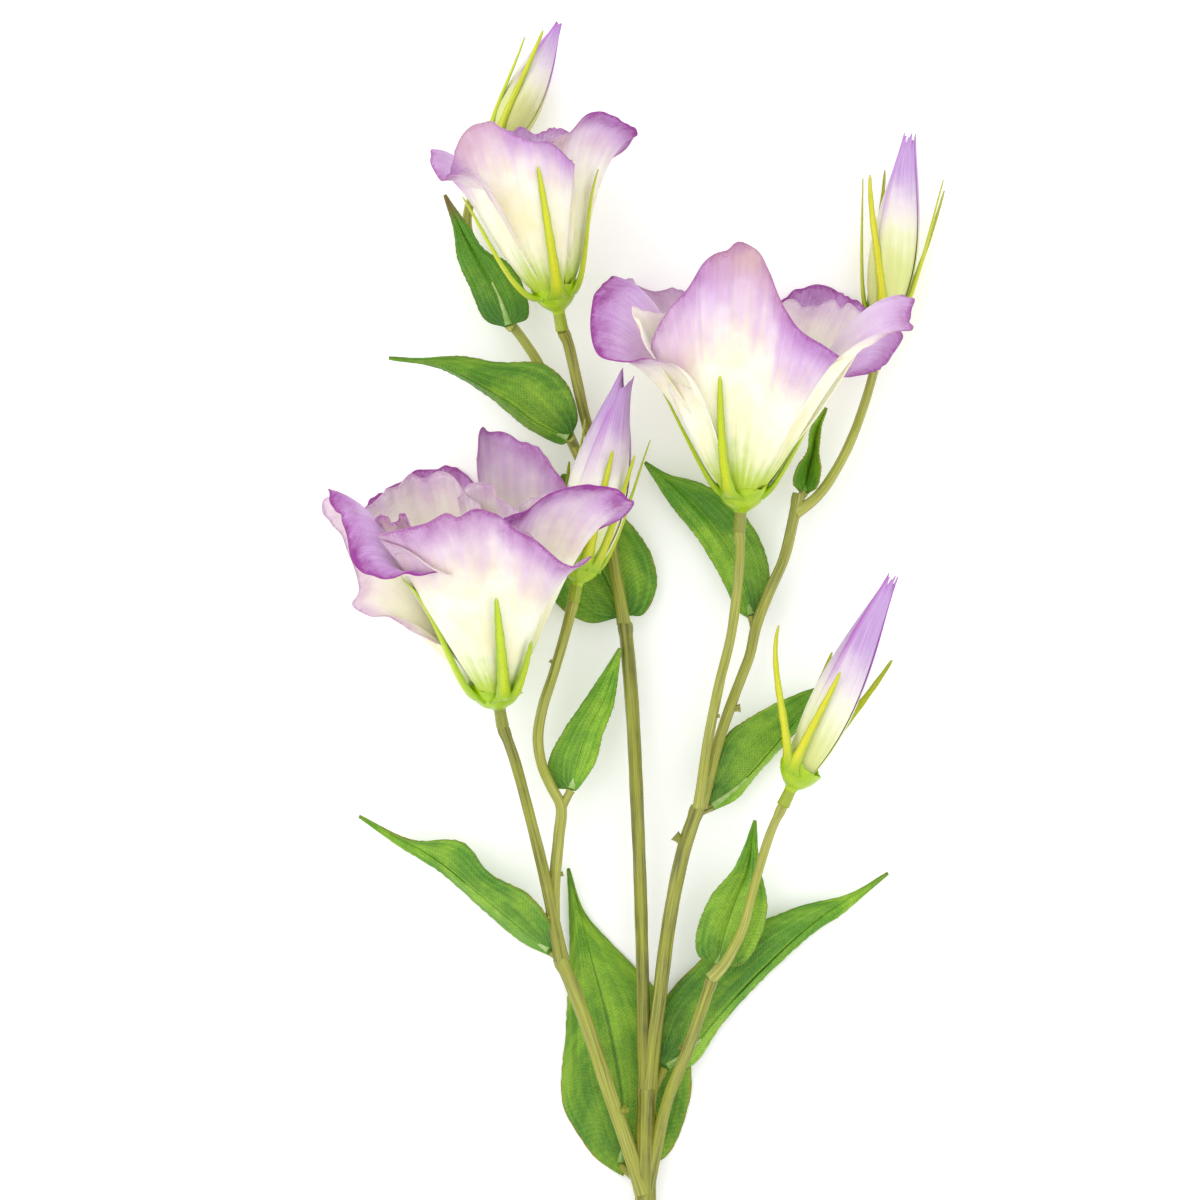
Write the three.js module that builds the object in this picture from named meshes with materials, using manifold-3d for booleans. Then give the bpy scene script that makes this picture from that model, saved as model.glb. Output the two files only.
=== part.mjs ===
// A cut spray of lisianthus, lying on a flat surface: three open blooms and four buds on a branched stem
// with eleven leaves. Millimetres. +X is the spray's right, +Y runs from the cut end to the top bud, and +Z
// is up from the surface. The origin is on the surface, at the middle of the spray's length and width.
//
// Each stem section, leaf, calyx, corolla and bud is a piece of its own. Pieces that plug into each other
// meet with a small clearance all round.

import * as THREE from "three";
import { LoftGeometry } from "three/addons/geometries/LoftGeometry.js";
import { mergeVertices } from "three/addons/utils/BufferGeometryUtils.js";
import Module from "manifold-3d";

const wasm = await Module();
wasm.setup();

// -------------------------------------------------------------------------------------------------------
// Driving dimensions
// -------------------------------------------------------------------------------------------------------

const CLEARANCE = 0.3; // between two pieces that meet
const LEAF_THICKNESS = 0.8;
const PETAL_THICKNESS = 0.7;
const SEPAL_WIDTH = 2.6; // at the widest, on a bloom
const FLOOR_SOFTNESS = 3; // how gradually a blade that meets the surface bends to lie along it
const STALK_SIDES = 6;
const STALK_STEP = 13; // spacing of the rings along a stem

const COLOURS = {
  stem: 0xa3a35c,
  leaf: 0x5c962f,
  calyx: 0xb3cf36,
  petal: 0xd9c4e6,
  bud: 0xcfb3e2,
  centre: 0xcfc548,
};
const FINISHES = { stem: 0.45, leaf: 0.7, calyx: 0.35, petal: 0.75, bud: 0.75, centre: 0.6 };

// -------------------------------------------------------------------------------------------------------
// Helpers: points, smooth values and solids
// -------------------------------------------------------------------------------------------------------

const UP = new THREE.Vector3(0, 0, 1);
const radians = THREE.MathUtils.degToRad;
const vector = ([x, y, z]) => new THREE.Vector3(x, y, z);

/** The cubic Bezier value of four control values, at t from 0 to 1. */
function ease([a, b, c, d], t) {
  const u = 1 - t;
  return u * u * u * a + 3 * u * u * t * b + 3 * u * t * t * c + t * t * t * d;
}

/** A closed geometry as a solid that can be joined and cut. */
function solidOf(geometry) {
  const bare = new THREE.BufferGeometry();
  bare.setAttribute("position", geometry.getAttribute("position"));
  bare.setIndex(geometry.getIndex());
  const merged = mergeVertices(bare, 1e-4);
  const mesh = new wasm.Mesh({
    numProp: 3,
    vertProperties: merged.getAttribute("position").array,
    triVerts: new Uint32Array(merged.getIndex().array),
  });
  return new wasm.Manifold(mesh);
}

/** A solid skinned over closed sections, capped at both ends. */
const loft = (sections) => solidOf(new LoftGeometry(sections, { capStart: true, capEnd: true }));

const join = (solids) => solids.reduce((whole, solid) => whole.add(solid));

/** The largest body of a solid, without the loose scraps that a cut leaves and without sealed hollows. */
function largest(solid) {
  return solid.decompose().reduce((best, body) => (body.volume() > best.volume() ? body : best));
}

/** The height of a blade's middle that meets the surface: it bends smoothly and then lies flat along it. */
function settle(point, halfThickness) {
  const above = point.z - halfThickness;
  const eased = (above + FLOOR_SOFTNESS) ** 2 / (4 * FLOOR_SOFTNESS);
  if (above < -FLOOR_SOFTNESS) point.z = halfThickness;
  else if (above < FLOOR_SOFTNESS) point.z = halfThickness + eased;
  return point;
}

/**
 * A thin closed blade. middle(t, s) gives its middle surface, with t from 0 at the root to 1 at the tip and
 * s from -1 to 1 across. Both faces are split into triangles alike.
 */
function blade(middle, rows, columns, thickness) {
  const grid = [];
  for (let i = 0; i <= rows; i++) {
    const line = [];
    for (let j = 0; j <= columns; j++) {
      line.push(settle(middle(i / rows, (2 * j) / columns - 1), thickness / 2));
    }
    grid.push(line);
  }
  const positions = [];
  const width = columns + 1;
  const faces = (rows + 1) * width;
  for (const side of [1, -1]) {
    for (let i = 0; i <= rows; i++) {
      for (let j = 0; j <= columns; j++) {
        const across = grid[i][Math.min(j + 1, columns)].clone().sub(grid[i][Math.max(j - 1, 0)]);
        const along = grid[Math.min(i + 1, rows)][j].clone().sub(grid[Math.max(i - 1, 0)][j]);
        const normal = across.cross(along).normalize();
        const point = grid[i][j].clone().addScaledVector(normal, (side * thickness) / 2);
        positions.push(point.x, point.y, Math.max(point.z, 0));
      }
    }
  }
  const index = [];
  const top = (i, j) => i * width + j;
  const under = (i, j) => faces + i * width + j;
  for (let i = 0; i < rows; i++) {
    for (let j = 0; j < columns; j++) {
      index.push(top(i, j), top(i, j + 1), top(i + 1, j + 1), top(i, j), top(i + 1, j + 1), top(i + 1, j));
      index.push(under(i, j), under(i + 1, j + 1), under(i, j + 1));
      index.push(under(i, j), under(i + 1, j), under(i + 1, j + 1));
    }
  }
  for (let j = 0; j < columns; j++) {
    index.push(top(0, j), under(0, j), under(0, j + 1), top(0, j), under(0, j + 1), top(0, j + 1));
    index.push(top(rows, j), top(rows, j + 1), under(rows, j + 1));
    index.push(top(rows, j), under(rows, j + 1), under(rows, j));
  }
  for (let i = 0; i < rows; i++) {
    index.push(top(i, 0), top(i + 1, 0), under(i + 1, 0), top(i, 0), under(i + 1, 0), under(i, 0));
    index.push(top(i, columns), under(i, columns), under(i + 1, columns));
    index.push(top(i, columns), under(i + 1, columns), top(i + 1, columns));
  }
  const geometry = new THREE.BufferGeometry();
  geometry.setAttribute("position", new THREE.Float32BufferAttribute(positions, 3));
  geometry.setIndex(index);
  return solidOf(geometry);
}

/** A round rod along a curve, with radiusAt(t) from end to end. No ring reaches below the surface. */
function rod(curve, radiusAt, steps, sides = STALK_SIDES) {
  const frames = curve.computeFrenetFrames(steps, false);
  const sections = [];
  for (let i = 0; i <= steps; i++) {
    const centre = curve.getPointAt(i / steps);
    const radius = radiusAt(i / steps);
    const ring = [];
    for (let k = 0; k < sides; k++) {
      const angle = ((k + 0.5) / sides) * 2 * Math.PI;
      const point = centre
        .clone()
        .addScaledVector(frames.normals[i], radius * Math.cos(angle))
        .addScaledVector(frames.binormals[i], radius * Math.sin(angle));
      point.z = Math.max(point.z, 0);
      ring.push(point);
    }
    sections.push(ring);
  }
  return loft(sections);
}

/** A solid of revolution from a profile of [radius, height] pairs, stood at a place along an axis. */
function turned(profile, sides, frame) {
  const points = profile.map(([radius, height]) => new THREE.Vector2(radius, height));
  const geometry = new THREE.LatheGeometry(points, sides);
  geometry.rotateX(Math.PI / 2); // the lathe turns about Y, and a head's axis is Z
  geometry.applyMatrix4(frame);
  return solidOf(geometry);
}

// -------------------------------------------------------------------------------------------------------
// Stems: one cut main stem that forks into sections, each plugged into the one before it
// -------------------------------------------------------------------------------------------------------

const SOCKET_SWELL = 0.35; // how much a stem thickens at the socket that it ends in
const SOCKET_LENGTH = 3.5;

const STEMS = {
  main_stem: {
    route: [[0.5, -209.5, 3.1], [1.6, -180, 3.4], [2.6, -150, 4.2], [2.9, -120, 5], [3.0, -103, 6.2],
            [3.4, -88, 7.4]],
    radius: [3.7, 3.0],
    nubs: [[0.32, 60, 0.9], [0.55, 250, 0.8]],
  },
  left_branch: {
    route: [[2.2, -117, 5.6], [-3.4, -100.5, 7.4], [-7.8, -87.6, 9], [-12.6, -72.5, 10.4],
            [-18, -58, 11.8], [-20.8, -51.8, 12.4]],
    radius: [2.2, 1.85],
    clear: ["main_stem"],
    nubs: [[0.33, -60, 1.3]],
  },
  left_bloom_stem: {
    route: [[-20.8, -51.4, 12.4], [-22.6, -42, 13], [-23.7, -36, 13.3], [-25.8, -26.3, 14],
            [-29.4, -11.5, 15], [-33.6, 3.9, 16]],
    radius: [1.75, 1.4],
    clear: ["left_branch"],
    head: "left_bloom",
  },
  left_bud_branch: {
    route: [[-23, -40, 12.6], [-22.3, -29, 12], [-21.2, -17.9, 12], [-20.6, -9.5, 12.6],
            [-23.2, -4.2, 13.2], [-25.8, 1.7, 14], [-27, 9.2, 15], [-25.8, 17.6, 16], [-22.6, 27.7, 17.6],
            [-19.6, 38.1, 19.4]],
    radius: [1.6, 1.35],
    clear: ["left_bloom_stem"],
    head: "middle_bud",
    nubs: [[0.13, -90, 0.8], [0.8, 90, 0.6]],
  },
  centre_stem: {
    route: [[3.0, -87.6, 7.6], [2.4, -76, 8], [2.3, -64, 8.4], [2, -50, 8.8], [1.4, -30.5, 9.2],
            [0.4, -8.1, 9.4], [-0.7, 14.3, 9.5], [-2, 31, 9.6], [-3, 41.5, 9.6]],
    radius: [1.75, 1.9],
    clear: ["main_stem", "right_stem"],
  },
  top_stem: {
    route: [[-3.1, 41.9, 9.6], [-5, 53.5, 9.2], [-7.2, 67.5, 8.8], [-9.8, 81.5, 9.6], [-12.3, 92.1, 11.4],
            [-14.3, 99.7, 13.4], [-16.5, 109.5, 16.6], [-18.9, 119.6, 20.4]],
    radius: [1.6, 1.45],
    clear: ["centre_stem"],
    head: "top_bloom",
  },
  top_bud_branch: {
    route: [[-9.6, 80.5, 9.6], [-14, 85.3, 9.8], [-17.2, 91, 9.8], [-20.6, 99.7, 9.6],
            [-24.2, 108.1, 9.4], [-27.4, 114.5, 9.2], [-31.4, 120.6, 8.8], [-35.6, 126.2, 8.2],
            [-39.2, 132.6, 7.4], [-43.2, 141, 6.8], [-46.2, 149, 6.4], [-46.8, 155, 6.4],
            [-45.2, 160.5, 6.6]],
    radius: [1.45, 1.2],
    clear: ["top_stem"],
    head: "top_bud",
  },
  right_stem: {
    route: [[4.0, -87.6, 7.4], [5.0, -76, 8.4], [6.4, -65, 9], [9.8, -40, 10.4], [13.7, -21.3, 11.4],
            [17.6, -9.6, 12]],
    radius: [2.1, 1.9],
    clear: ["main_stem"],
    nubs: [[0.86, 90, 1.7]],
  },
  right_bloom_stem: {
    route: [[17.7, -9.2, 12.2], [18.3, -4.5, 12.9], [19.9, 7.3, 14], [23.4, 24.9, 15.8], [26.6, 38, 17.2],
            [28.6, 53.5, 18.6], [29.1, 63, 19.4]],
    radius: [1.45, 1.3],
    clear: ["right_stem"],
    head: "right_bloom",
    nubs: [[0.33, -90, 0.6]],
  },
  right_side_stem: {
    route: [[18.4, -9, 11.4], [20.6, -1.7, 11], [22.9, 7.3, 10.8], [26.8, 19, 10.8], [29.8, 26.9, 11],
            [31.9, 32.5, 11.2], [33.8, 40.9, 11.4], [37.1, 49.6, 11.6], [41.4, 59.4, 11.8],
            [43.8, 69.4, 12], [45.5, 77.6, 12]],
    radius: [1.45, 1.5],
    clear: ["right_stem", "right_bloom_stem"],
    nubs: [[0.31, -90, 1.3]],
  },
  right_bud_branch: {
    route: [[45.2, 72.6, 12], [48.8, 75, 12], [52.6, 79, 11.8], [57.6, 87.1, 11.2], [61, 94.6, 10.6],
            [63.8, 102.5, 10], [66, 110, 9.4]],
    radius: [1.4, 1.2],
    clear: ["right_side_stem"],
    head: "right_bud",
  },
  low_right_branch: {
    route: [[3.6, -117.5, 5.4], [5.9, -105.3, 7.2], [9, -91.6, 9.2], [14.1, -78.1, 11.2],
            [18.9, -64.4, 12.8], [21.3, -57.4, 13.6]],
    radius: [1.75, 1.55],
    clear: ["main_stem"],
    nubs: [[0.66, 80, 0.8]],
  },
  low_bud_branch: {
    route: [[21.5, -57, 13.6], [24.6, -53.6, 14], [27.4, -48.7, 14.6], [29.8, -43.4, 15.2],
            [33.5, -29.4, 16.8], [37.5, -16.5, 18.2]],
    radius: [1.4, 1.15],
    clear: ["low_right_branch"],
    head: "low_bud",
  },
};

/** The centreline of a stem. One that carries a bloom or bud runs on to the foot of its neck. */
function centreline(stem) {
  const places = stem.route.map(vector);
  if (stem.head) {
    const foot = new THREE.Vector3(0, 0, CUP_PROFILE[0][1] - CLEARANCE);
    places.push(foot.applyMatrix4(headFrame(BLOOMS[stem.head] ?? BUDS[stem.head])));
  }
  return new THREE.CatmullRomCurve3(places, false, "centripetal");
}

/** One stem as a solid. grow makes it thicker all round, for cutting the pieces that meet it. */
function stemSolid(stem, grow = 0) {
  const curve = centreline(stem);
  const length = curve.getLength();
  const [first, last] = stem.radius;
  const radiusAt = (t) => {
    const left = (1 - t) * length;
    const swell = SOCKET_SWELL * Math.max(0, 1 - left / SOCKET_LENGTH);
    return THREE.MathUtils.lerp(first, last, t) + swell + grow;
  };
  const solids = [rod(curve, radiusAt, Math.max(4, Math.round(length / STALK_STEP)))];
  for (const [share, azimuth, size] of stem.nubs ?? []) {
    solids.push(nub(curve, share, azimuth, radiusAt(share), size));
  }
  for (const leaf of Object.values(LEAVES)) {
    if (STEMS[leaf.stem] === stem) solids.push(stubSolid(leaf, grow));
  }
  for (const t of grow > 0 ? [0, 1] : []) {
    const end = curve.getPointAt(t);
    const beyond = curve.getTangentAt(t).multiplyScalar(grow);
    const line = new THREE.LineCurve3(end.clone().sub(beyond), end.clone().add(beyond));
    solids.push(rod(line, () => radiusAt(t), 1));
  }
  return join(solids);
}

/** A small blunt leaf scar that stands out of a stem. Azimuth 0 faces up, and 90 faces left. */
function nub(curve, share, azimuth, stemRadius, size) {
  const centre = curve.getPointAt(share);
  const along = curve.getTangentAt(share);
  const out = UP.clone().addScaledVector(along, -UP.dot(along)).normalize();
  out.applyAxisAngle(along, -radians(azimuth));
  const tip = centre.clone().addScaledVector(out, stemRadius + size).addScaledVector(along, size);
  return rod(new THREE.LineCurve3(centre, tip), (t) => size * (1.05 - 0.35 * t), 1, 5);
}

// -------------------------------------------------------------------------------------------------------
// Leaves: each a fabric-thin blade on a short sleeve, which plugs onto a stub of its stem
// -------------------------------------------------------------------------------------------------------

const LEAF_ROWS = 7;
const LEAF_COLUMNS = 4;
const STUB_RADIUS = 1.15;
const SLEEVE_RADIUS = 1.15;
const LEAF_ROOT_WIDTH = 2.4;
const LEAF_TIP_WIDTH = 0.9;
const LEAF_BULGE = 0.5; // how far each half of a blade bows out

// Each leaf by its midrib and its two edges, from root to tip. The edges share the ends of the midrib.
const LEAVES = {
  basal_leaf: {
    stem: "main_stem", from: [3, -116, 4.8],
    rib: [[-3.9, -110.5, 1.2], [-3.6, -92.9, -3.4], [-7.6, -70.5, -3.6], [-12.3, -52.3, -1.4],
          [-18.7, -27.1, 2.6]],
    left: [[-10.6, -108.2, 1.2], [-20.2, -92.6, -3], [-19.3, -71.1, -3], [-18.2, -47.2, 0.6]],
    right: [[7.6, -108.3, -0.6], [14.8, -93.5, -3], [15.4, -80.9, -3], [10.4, -66.3, -3],
            [0.6, -55.6, -2], [-7.3, -47.5, -0.5], [-14.6, -38.8, 1.2]],
  },
  lower_left_leaf: {
    stem: "left_branch", from: [-20.2, -52.4, 12.2], clear: ["left_bloom_stem", "left_bud_branch"],
    rib: [[-23.4, -50, 12], [-32.6, -43, 9], [-43.8, -33.9, 7], [-56.7, -23.8, 6], [-77, -12.4, 7]],
    left: [[-31.6, -47.1, 4], [-43.4, -37.7, 1.6], [-54.6, -27.9, 2], [-65.7, -20.8, 5]],
    right: [[-24.3, -41.6, 14], [-30.1, -33.9, 12.4], [-40.4, -28.2, 10], [-48.2, -19.5, 9.4],
            [-62.5, -19, 8.4]],
  },
  left_bud_leaf: {
    stem: "left_bud_branch", from: [-20.5, -9.9, 12.6],
    rib: [[-17.9, -5, 12.6], [-15.9, 3.4, 13], [-12.6, 12.8, 13], [-8.7, 20.1, 13.2], [-4.2, 34.5, 13]],
    left: [[-22, -4.2, 11], [-24, 2.2, 10.6], [-20.1, 11.1, 11], [-14, 20.1, 11.4]],
    right: [[-17, -4.4, 12.4], [-11.5, 2.5, 11], [-9.2, 10.3, 10.8], [-6.2, 18.6, 10.6]],
  },
  round_leaf: {
    stem: "centre_stem", from: [-3.0, 40.2, 9.4],
    rib: [[-3.7, 43.4, 6.4], [-8.1, 53.5, 4.2], [-12.6, 62.4, 3.4], [-17.1, 73, 3.6], [-20.1, 83.1, 5]],
    left: [[-12.6, 41.7, 5], [-22.1, 47.3, 4], [-24.9, 59.1, 3.6], [-24.9, 71.6, 4]],
    right: [[1.4, 43.4, 5.4], [5.8, 51.2, 4.4], [4.5, 60.5, 3.6], [-2.8, 70.8, 3.8], [-12.6, 78.6, 4.4]],
  },
  spear_leaf: {
    stem: "top_bud_branch", from: [-17.2, 91, 9.8],
    rib: [[-18.1, 92.9, 13], [-27, 96.8, 14.5], [-35.3, 102.8, 16], [-46.4, 109.4, 18],
          [-56.4, 113.8, 19], [-68.3, 115, 19]],
    left: [[-20.4, 92.1, 11], [-29.9, 96.1, 9.4], [-40.4, 104.4, 10], [-54.2, 112.3, 15]],
    right: [[-16.2, 97.9, 15], [-19, 107.5, 17], [-25.6, 113.3, 18.6], [-37.5, 113.8, 20],
            [-49.4, 115.4, 21], [-59.4, 114.6, 20]],
  },
  dark_leaf: {
    stem: "top_bud_branch", from: [-34.6, 124.0, 8.2],
    rib: [[-35.1, 124.1, 13], [-38.4, 133.5, 13.2], [-43.2, 141.8, 13.6], [-47.9, 150.1, 14.2],
          [-52.9, 160.4, 15]],
    left: [[-41.2, 125.8, 12], [-45.7, 134.4, 12.4], [-49.3, 142.7, 13.2], [-50.4, 151.3, 14]],
    right: [[-30.4, 126.3, 12.2], [-31.2, 134.9, 12.4], [-35.7, 141.8, 13.4], [-41.7, 145.1, 14.6],
            [-46.5, 151.8, 15]],
  },
  right_spear_leaf: {
    stem: "main_stem", from: [3.6, -92, 6.8],
    rib: [[8.3, -82.7, 7], [15.9, -77.1, 6.4], [23.1, -68.8, 5.4], [34.9, -56.3, 4.4], [50.3, -42.1, 4],
          [70.6, -28.3, 5.6]],
    left: [[6.1, -77.8, 5], [7, -66.7, 3.6], [15.4, -55.5, 3.4], [27.9, -45.7, 3.6], [46.1, -37.6, 4.4],
           [59.5, -34.5, 5]],
    right: [[15.9, -81.3, 3], [24.3, -70.2, 1.4], [36.4, -57.3, 1], [50.9, -44.2, 1.6], [56.7, -40.5, 3]],
  },
  low_right_leaf: {
    stem: "low_right_branch", from: [20.6, -59, 13],
    rib: [[22.8, -54, 10.6], [24.7, -45.4, 10], [28.1, -35.4, 9.6], [31.1, -27.9, 9.8], [33.3, -13.4, 11]],
    left: [[18, -51, 10.4], [17.2, -44.6, 10.4], [21.1, -34.5, 10.8], [27.8, -26.2, 11]],
    right: [[29.7, -53.2, 10.2], [35.3, -44.6, 10.6], [36.7, -36.2, 11], [34.7, -26.7, 11]],
  },
  fork_leaf: {
    stem: "right_stem", from: [16.8, -11.6, 11.6],
    rib: [[21.1, -9.8, 10], [28.7, -4, 8.4], [35.4, 2.7, 7], [44.6, 13.8, 6], [53.8, 24.2, 6.4]],
    left: [[19.2, -6.5, 9], [22.3, 1.6, 8], [25.1, 9.7, 7.6], [34.5, 16.7, 7.8], [46, 21.9, 7]],
    right: [[28.2, -7.1, 6], [34.1, -0.5, 3.6], [41.9, 7.9, 3], [49.4, 15.7, 4]],
  },
  upper_right_leaf: {
    stem: "right_side_stem", from: [33.4, 39.2, 11.1],
    rib: [[32.5, 43.1, 9.4], [30.6, 50.7, 8], [26.5, 61, 7], [19.5, 70.8, 6.8], [11.1, 79.4, 7.4],
          [2.7, 86.3, 8.6]],
    left: [[29.3, 45.1, 7], [22.9, 56.5, 5.4], [17.6, 64.9, 5.4], [9.5, 75.2, 6.6]],
    right: [[35.4, 44.5, 8.4], [37.3, 52.6, 7.4], [35.4, 63.2, 7], [27.9, 74.4, 7.4], [18.1, 80.5, 8],
            [9.2, 82.7, 8.4]],
  },
  side_leaf: {
    stem: "right_side_stem", from: [45.2, 75.6, 12], clear: ["right_bud_branch"],
    rib: [[47, 77.7, 11], [48.2, 83.6, 8.6], [49.6, 89.4, 8.4], [50.7, 94.7, 8.8], [53.2, 101.4, 9.6]],
    left: [[44.4, 80.1, 13], [45, 84.6, 13], [47.8, 89.1, 12], [48.7, 95.2, 11]],
    right: [[50, 79.3, 13], [51.4, 83.5, 13.4], [51.1, 89, 12.4], [51.7, 95.8, 11]],
  },
};

/** A leaf's middle surface. */
function leafSurface(leaf) {
  const curve = (points) => new THREE.CatmullRomCurve3(points.map(vector), false, "centripetal");
  const rib = curve(leaf.rib);
  const ends = [leaf.rib[0], leaf.rib.at(-1)];
  const edges = [leaf.left, leaf.right].map((edge) => curve([ends[0], ...edge, ends[1]]));
  return (t, s) => {
    const middle = rib.getPointAt(t);
    const across = rib.getTangentAt(t).cross(UP).normalize();
    const edge = edges[s < 0 ? 0 : 1].getPointAt(t).sub(middle);
    const narrowest = (LEAF_ROOT_WIDTH * (1 - t) ** 6 + LEAF_TIP_WIDTH * t ** 6) / 2;
    const bulge = LEAF_BULGE * Math.sin(Math.PI * Math.abs(s)) * Math.sin(Math.PI * t);
    return middle
      .addScaledVector(edge, Math.abs(s))
      .addScaledVector(across, narrowest * s)
      .addScaledVector(UP, bulge);
  };
}

/** The way a leaf's root points, from its stub into its blade. */
function leafRoot(leaf) {
  const root = vector(leaf.rib[0]);
  const from = vector(leaf.from);
  const along = root.clone().sub(from).normalize();
  return { root, from, along };
}

/** A leaf with the sleeve that holds it, along the first part of its rib. */
function leafSolid(leaf) {
  const { root, along } = leafRoot(leaf);
  const surface = leafSurface(leaf);
  const start = root.clone().addScaledVector(along, CLEARANCE + 0.02);
  const sleeve = new THREE.CatmullRomCurve3([start, surface(0.1, 0), surface(0.2, 0)]);
  const body = blade((t, s) => surface(0.03 + 0.97 * t, s), LEAF_ROWS, LEAF_COLUMNS, LEAF_THICKNESS);
  return join([body, rod(sleeve, (t) => SLEEVE_RADIUS * (1 - 0.6 * t), 2, 5)]);
}

/** The stub that a leaf plugs onto. It is part of the stem. */
function stubSolid(leaf, grow = 0) {
  const { root, from, along } = leafRoot(leaf);
  const line = new THREE.LineCurve3(from.addScaledVector(along, -grow), root.addScaledVector(along, grow));
  return rod(line, () => STUB_RADIUS + grow, 1, 6);
}

// -------------------------------------------------------------------------------------------------------
// Heads: each bloom and bud stands on an axis, with azimuth 0 facing up from the surface and 90 facing right
// -------------------------------------------------------------------------------------------------------

/** A head's frame: its origin at the base of its calyx cup, Z along its axis and X as near up as can be. */
function headFrame(head) {
  const axis = vector(head.axis).normalize();
  const front = UP.clone().addScaledVector(axis, -UP.dot(axis)).normalize();
  const side = axis.clone().cross(front);
  return new THREE.Matrix4().makeBasis(front, side, axis).setPosition(vector(head.base));
}

// ---- Corollas

const CORE_PROFILE = [[0, 1.7], [2.3, 1.7], [4.3, 4.6], [3.6, 8.4], [0, 8.4]];
// Where and how a petal leaves the core.
const OUTER_ROOT = { radius: 3.5, height: 3.6, lean: 60, grip: 0.21, spread: 42 };
const INNER_ROOT = { radius: 3.2, height: 6, lean: 50, grip: 0.2, spread: 40 };
const OUTER_LAYER = 0.8; // neighbouring petals start on different layers, this far apart
const INNER_LAYER = 0.6;
const OUTER_GRID = [4, 6]; // rows and columns of a petal
const INNER_GRID = [3, 3];

/**
 * A petal's middle surface, in the spray's frame. It rises from the core and ends at a rim, given by places
 * in the spray's frame from its left to its right seen from outside. flare is the lean at which it reaches
 * the rim, at the left, the middle and the right: 0 is along the axis, 90 square to it and more curls back.
 */
function petalSurface(head, petal, index) {
  const frame = headFrame(head);
  const intoHead = frame.clone().invert();
  const rim = new THREE.CatmullRomCurve3(petal.rim.map(vector), false, "centripetal");
  const root = petal.inner ? INNER_ROOT : OUTER_ROOT;
  const radius = root.radius - (petal.inner ? INNER_LAYER : OUTER_LAYER) * (index % 3);
  const azimuthOf = (point) => Math.atan2(point.y, point.x);
  const heading = (lean, azimuth) =>
    new THREE.Vector3(Math.sin(lean) * Math.cos(azimuth), Math.sin(lean) * Math.sin(azimuth), Math.cos(lean));
  const middle = azimuthOf(rim.getPointAt(0.5).applyMatrix4(intoHead));
  const [left, centre, right] = petal.flare;
  return (t, s) => {
    const end = rim.getPointAt((s + 1) / 2).applyMatrix4(intoHead);
    const azimuth = middle + radians(root.spread * s);
    const start = new THREE.Vector3(radius * Math.cos(azimuth), radius * Math.sin(azimuth), root.height);
    const flare = radians(centre + (s < 0 ? left - centre : right - centre) * s * s);
    const reach = start.distanceTo(end);
    const rise = start.clone().addScaledVector(heading(radians(root.lean), azimuth), root.grip * reach);
    const arrive = end.clone().addScaledVector(heading(flare, azimuthOf(end)), -0.32 * reach);
    const point = new THREE.CubicBezierCurve3(start, rise, arrive, end).getPoint(t);
    const ripple = t ** 3 * Math.sin(2 * Math.PI * (s + 1.2));
    return point.addScaledVector(heading(flare + Math.PI / 2, azimuthOf(end)), ripple).applyMatrix4(frame);
  };
}

/** A corolla: its petals round a small core. grow makes it thicker on every side, for cutting its calyx. */
function corollaSolid(head, grow = 0) {
  const core = CORE_PROFILE.map(([radius, height]) => [radius === 0 ? 0 : radius + grow, height]);
  const petals = head.petals.map((petal, index) => {
    const [rows, columns] = petal.inner ? INNER_GRID : OUTER_GRID;
    return blade(petalSurface(head, petal, index), rows, columns, PETAL_THICKNESS + 2 * grow);
  });
  return largest(join([turned(core, 7, headFrame(head)), ...petals]));
}

// ---- Calyxes

const CUP_PROFILE = [
  [0, -6], [1.7, -6], [1.7, -0.8], [4.4, 1.2], [6, 3.4], [7.1, 6],
  [6.3, 6.1], [5.1, 3.4], [2.8, 1.3], [0, 1.3],
];
const SEPAL_ROOT = { radius: 6, height: 3.4, grip: 0.25 };
const BUD_SEPAL = { lean: 20, flare: 8 }; // how a sepal leaves the cup and how it ends, on a bud
const SEPAL_RINGS = 3;

/** One sepal: a long keeled blade that leaves the cup and ends in a point at its tip. */
function sepalSolid(head, sepal, size) {
  const frame = headFrame(head);
  const end = vector(sepal.tip).applyMatrix4(frame.clone().invert());
  const azimuth = Math.atan2(end.y, end.x);
  const out = new THREE.Vector3(Math.cos(azimuth), Math.sin(azimuth), 0);
  const heading = (lean) => out.clone().multiplyScalar(Math.sin(radians(lean))).setZ(Math.cos(radians(lean)));
  const start = out.clone().multiplyScalar(SEPAL_ROOT.radius * size).setZ(SEPAL_ROOT.height * size);
  const reach = start.distanceTo(end);
  const { lean, flare } = { ...BUD_SEPAL, ...sepal };
  const rise = start.clone().addScaledVector(heading(lean), SEPAL_ROOT.grip * reach);
  const arrive = end.clone().addScaledVector(heading(flare), -0.3 * reach);
  const spine = new THREE.CubicBezierCurve3(start, rise, arrive, end);
  const sections = [];
  for (let i = 0; i <= SEPAL_RINGS; i++) {
    const t = i / SEPAL_RINGS;
    const along = spine.getTangent(t);
    const across = along.clone().cross(out).normalize();
    const outward = across.clone().cross(along);
    const half = 0.5 * size * SEPAL_WIDTH * (1 - t) ** 0.7 + 0.2;
    const keel = 0.9 * size * (1 - t) + 0.3;
    const corner = (aside, lift) => {
      const point = spine.getPoint(t).addScaledVector(across, aside).addScaledVector(outward, lift);
      return settle(point.applyMatrix4(frame), 0);
    };
    sections.push([corner(-half, 0), corner(0, keel), corner(half, 0), corner(0, -0.2 * keel)]);
  }
  return loft(sections);
}

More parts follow.
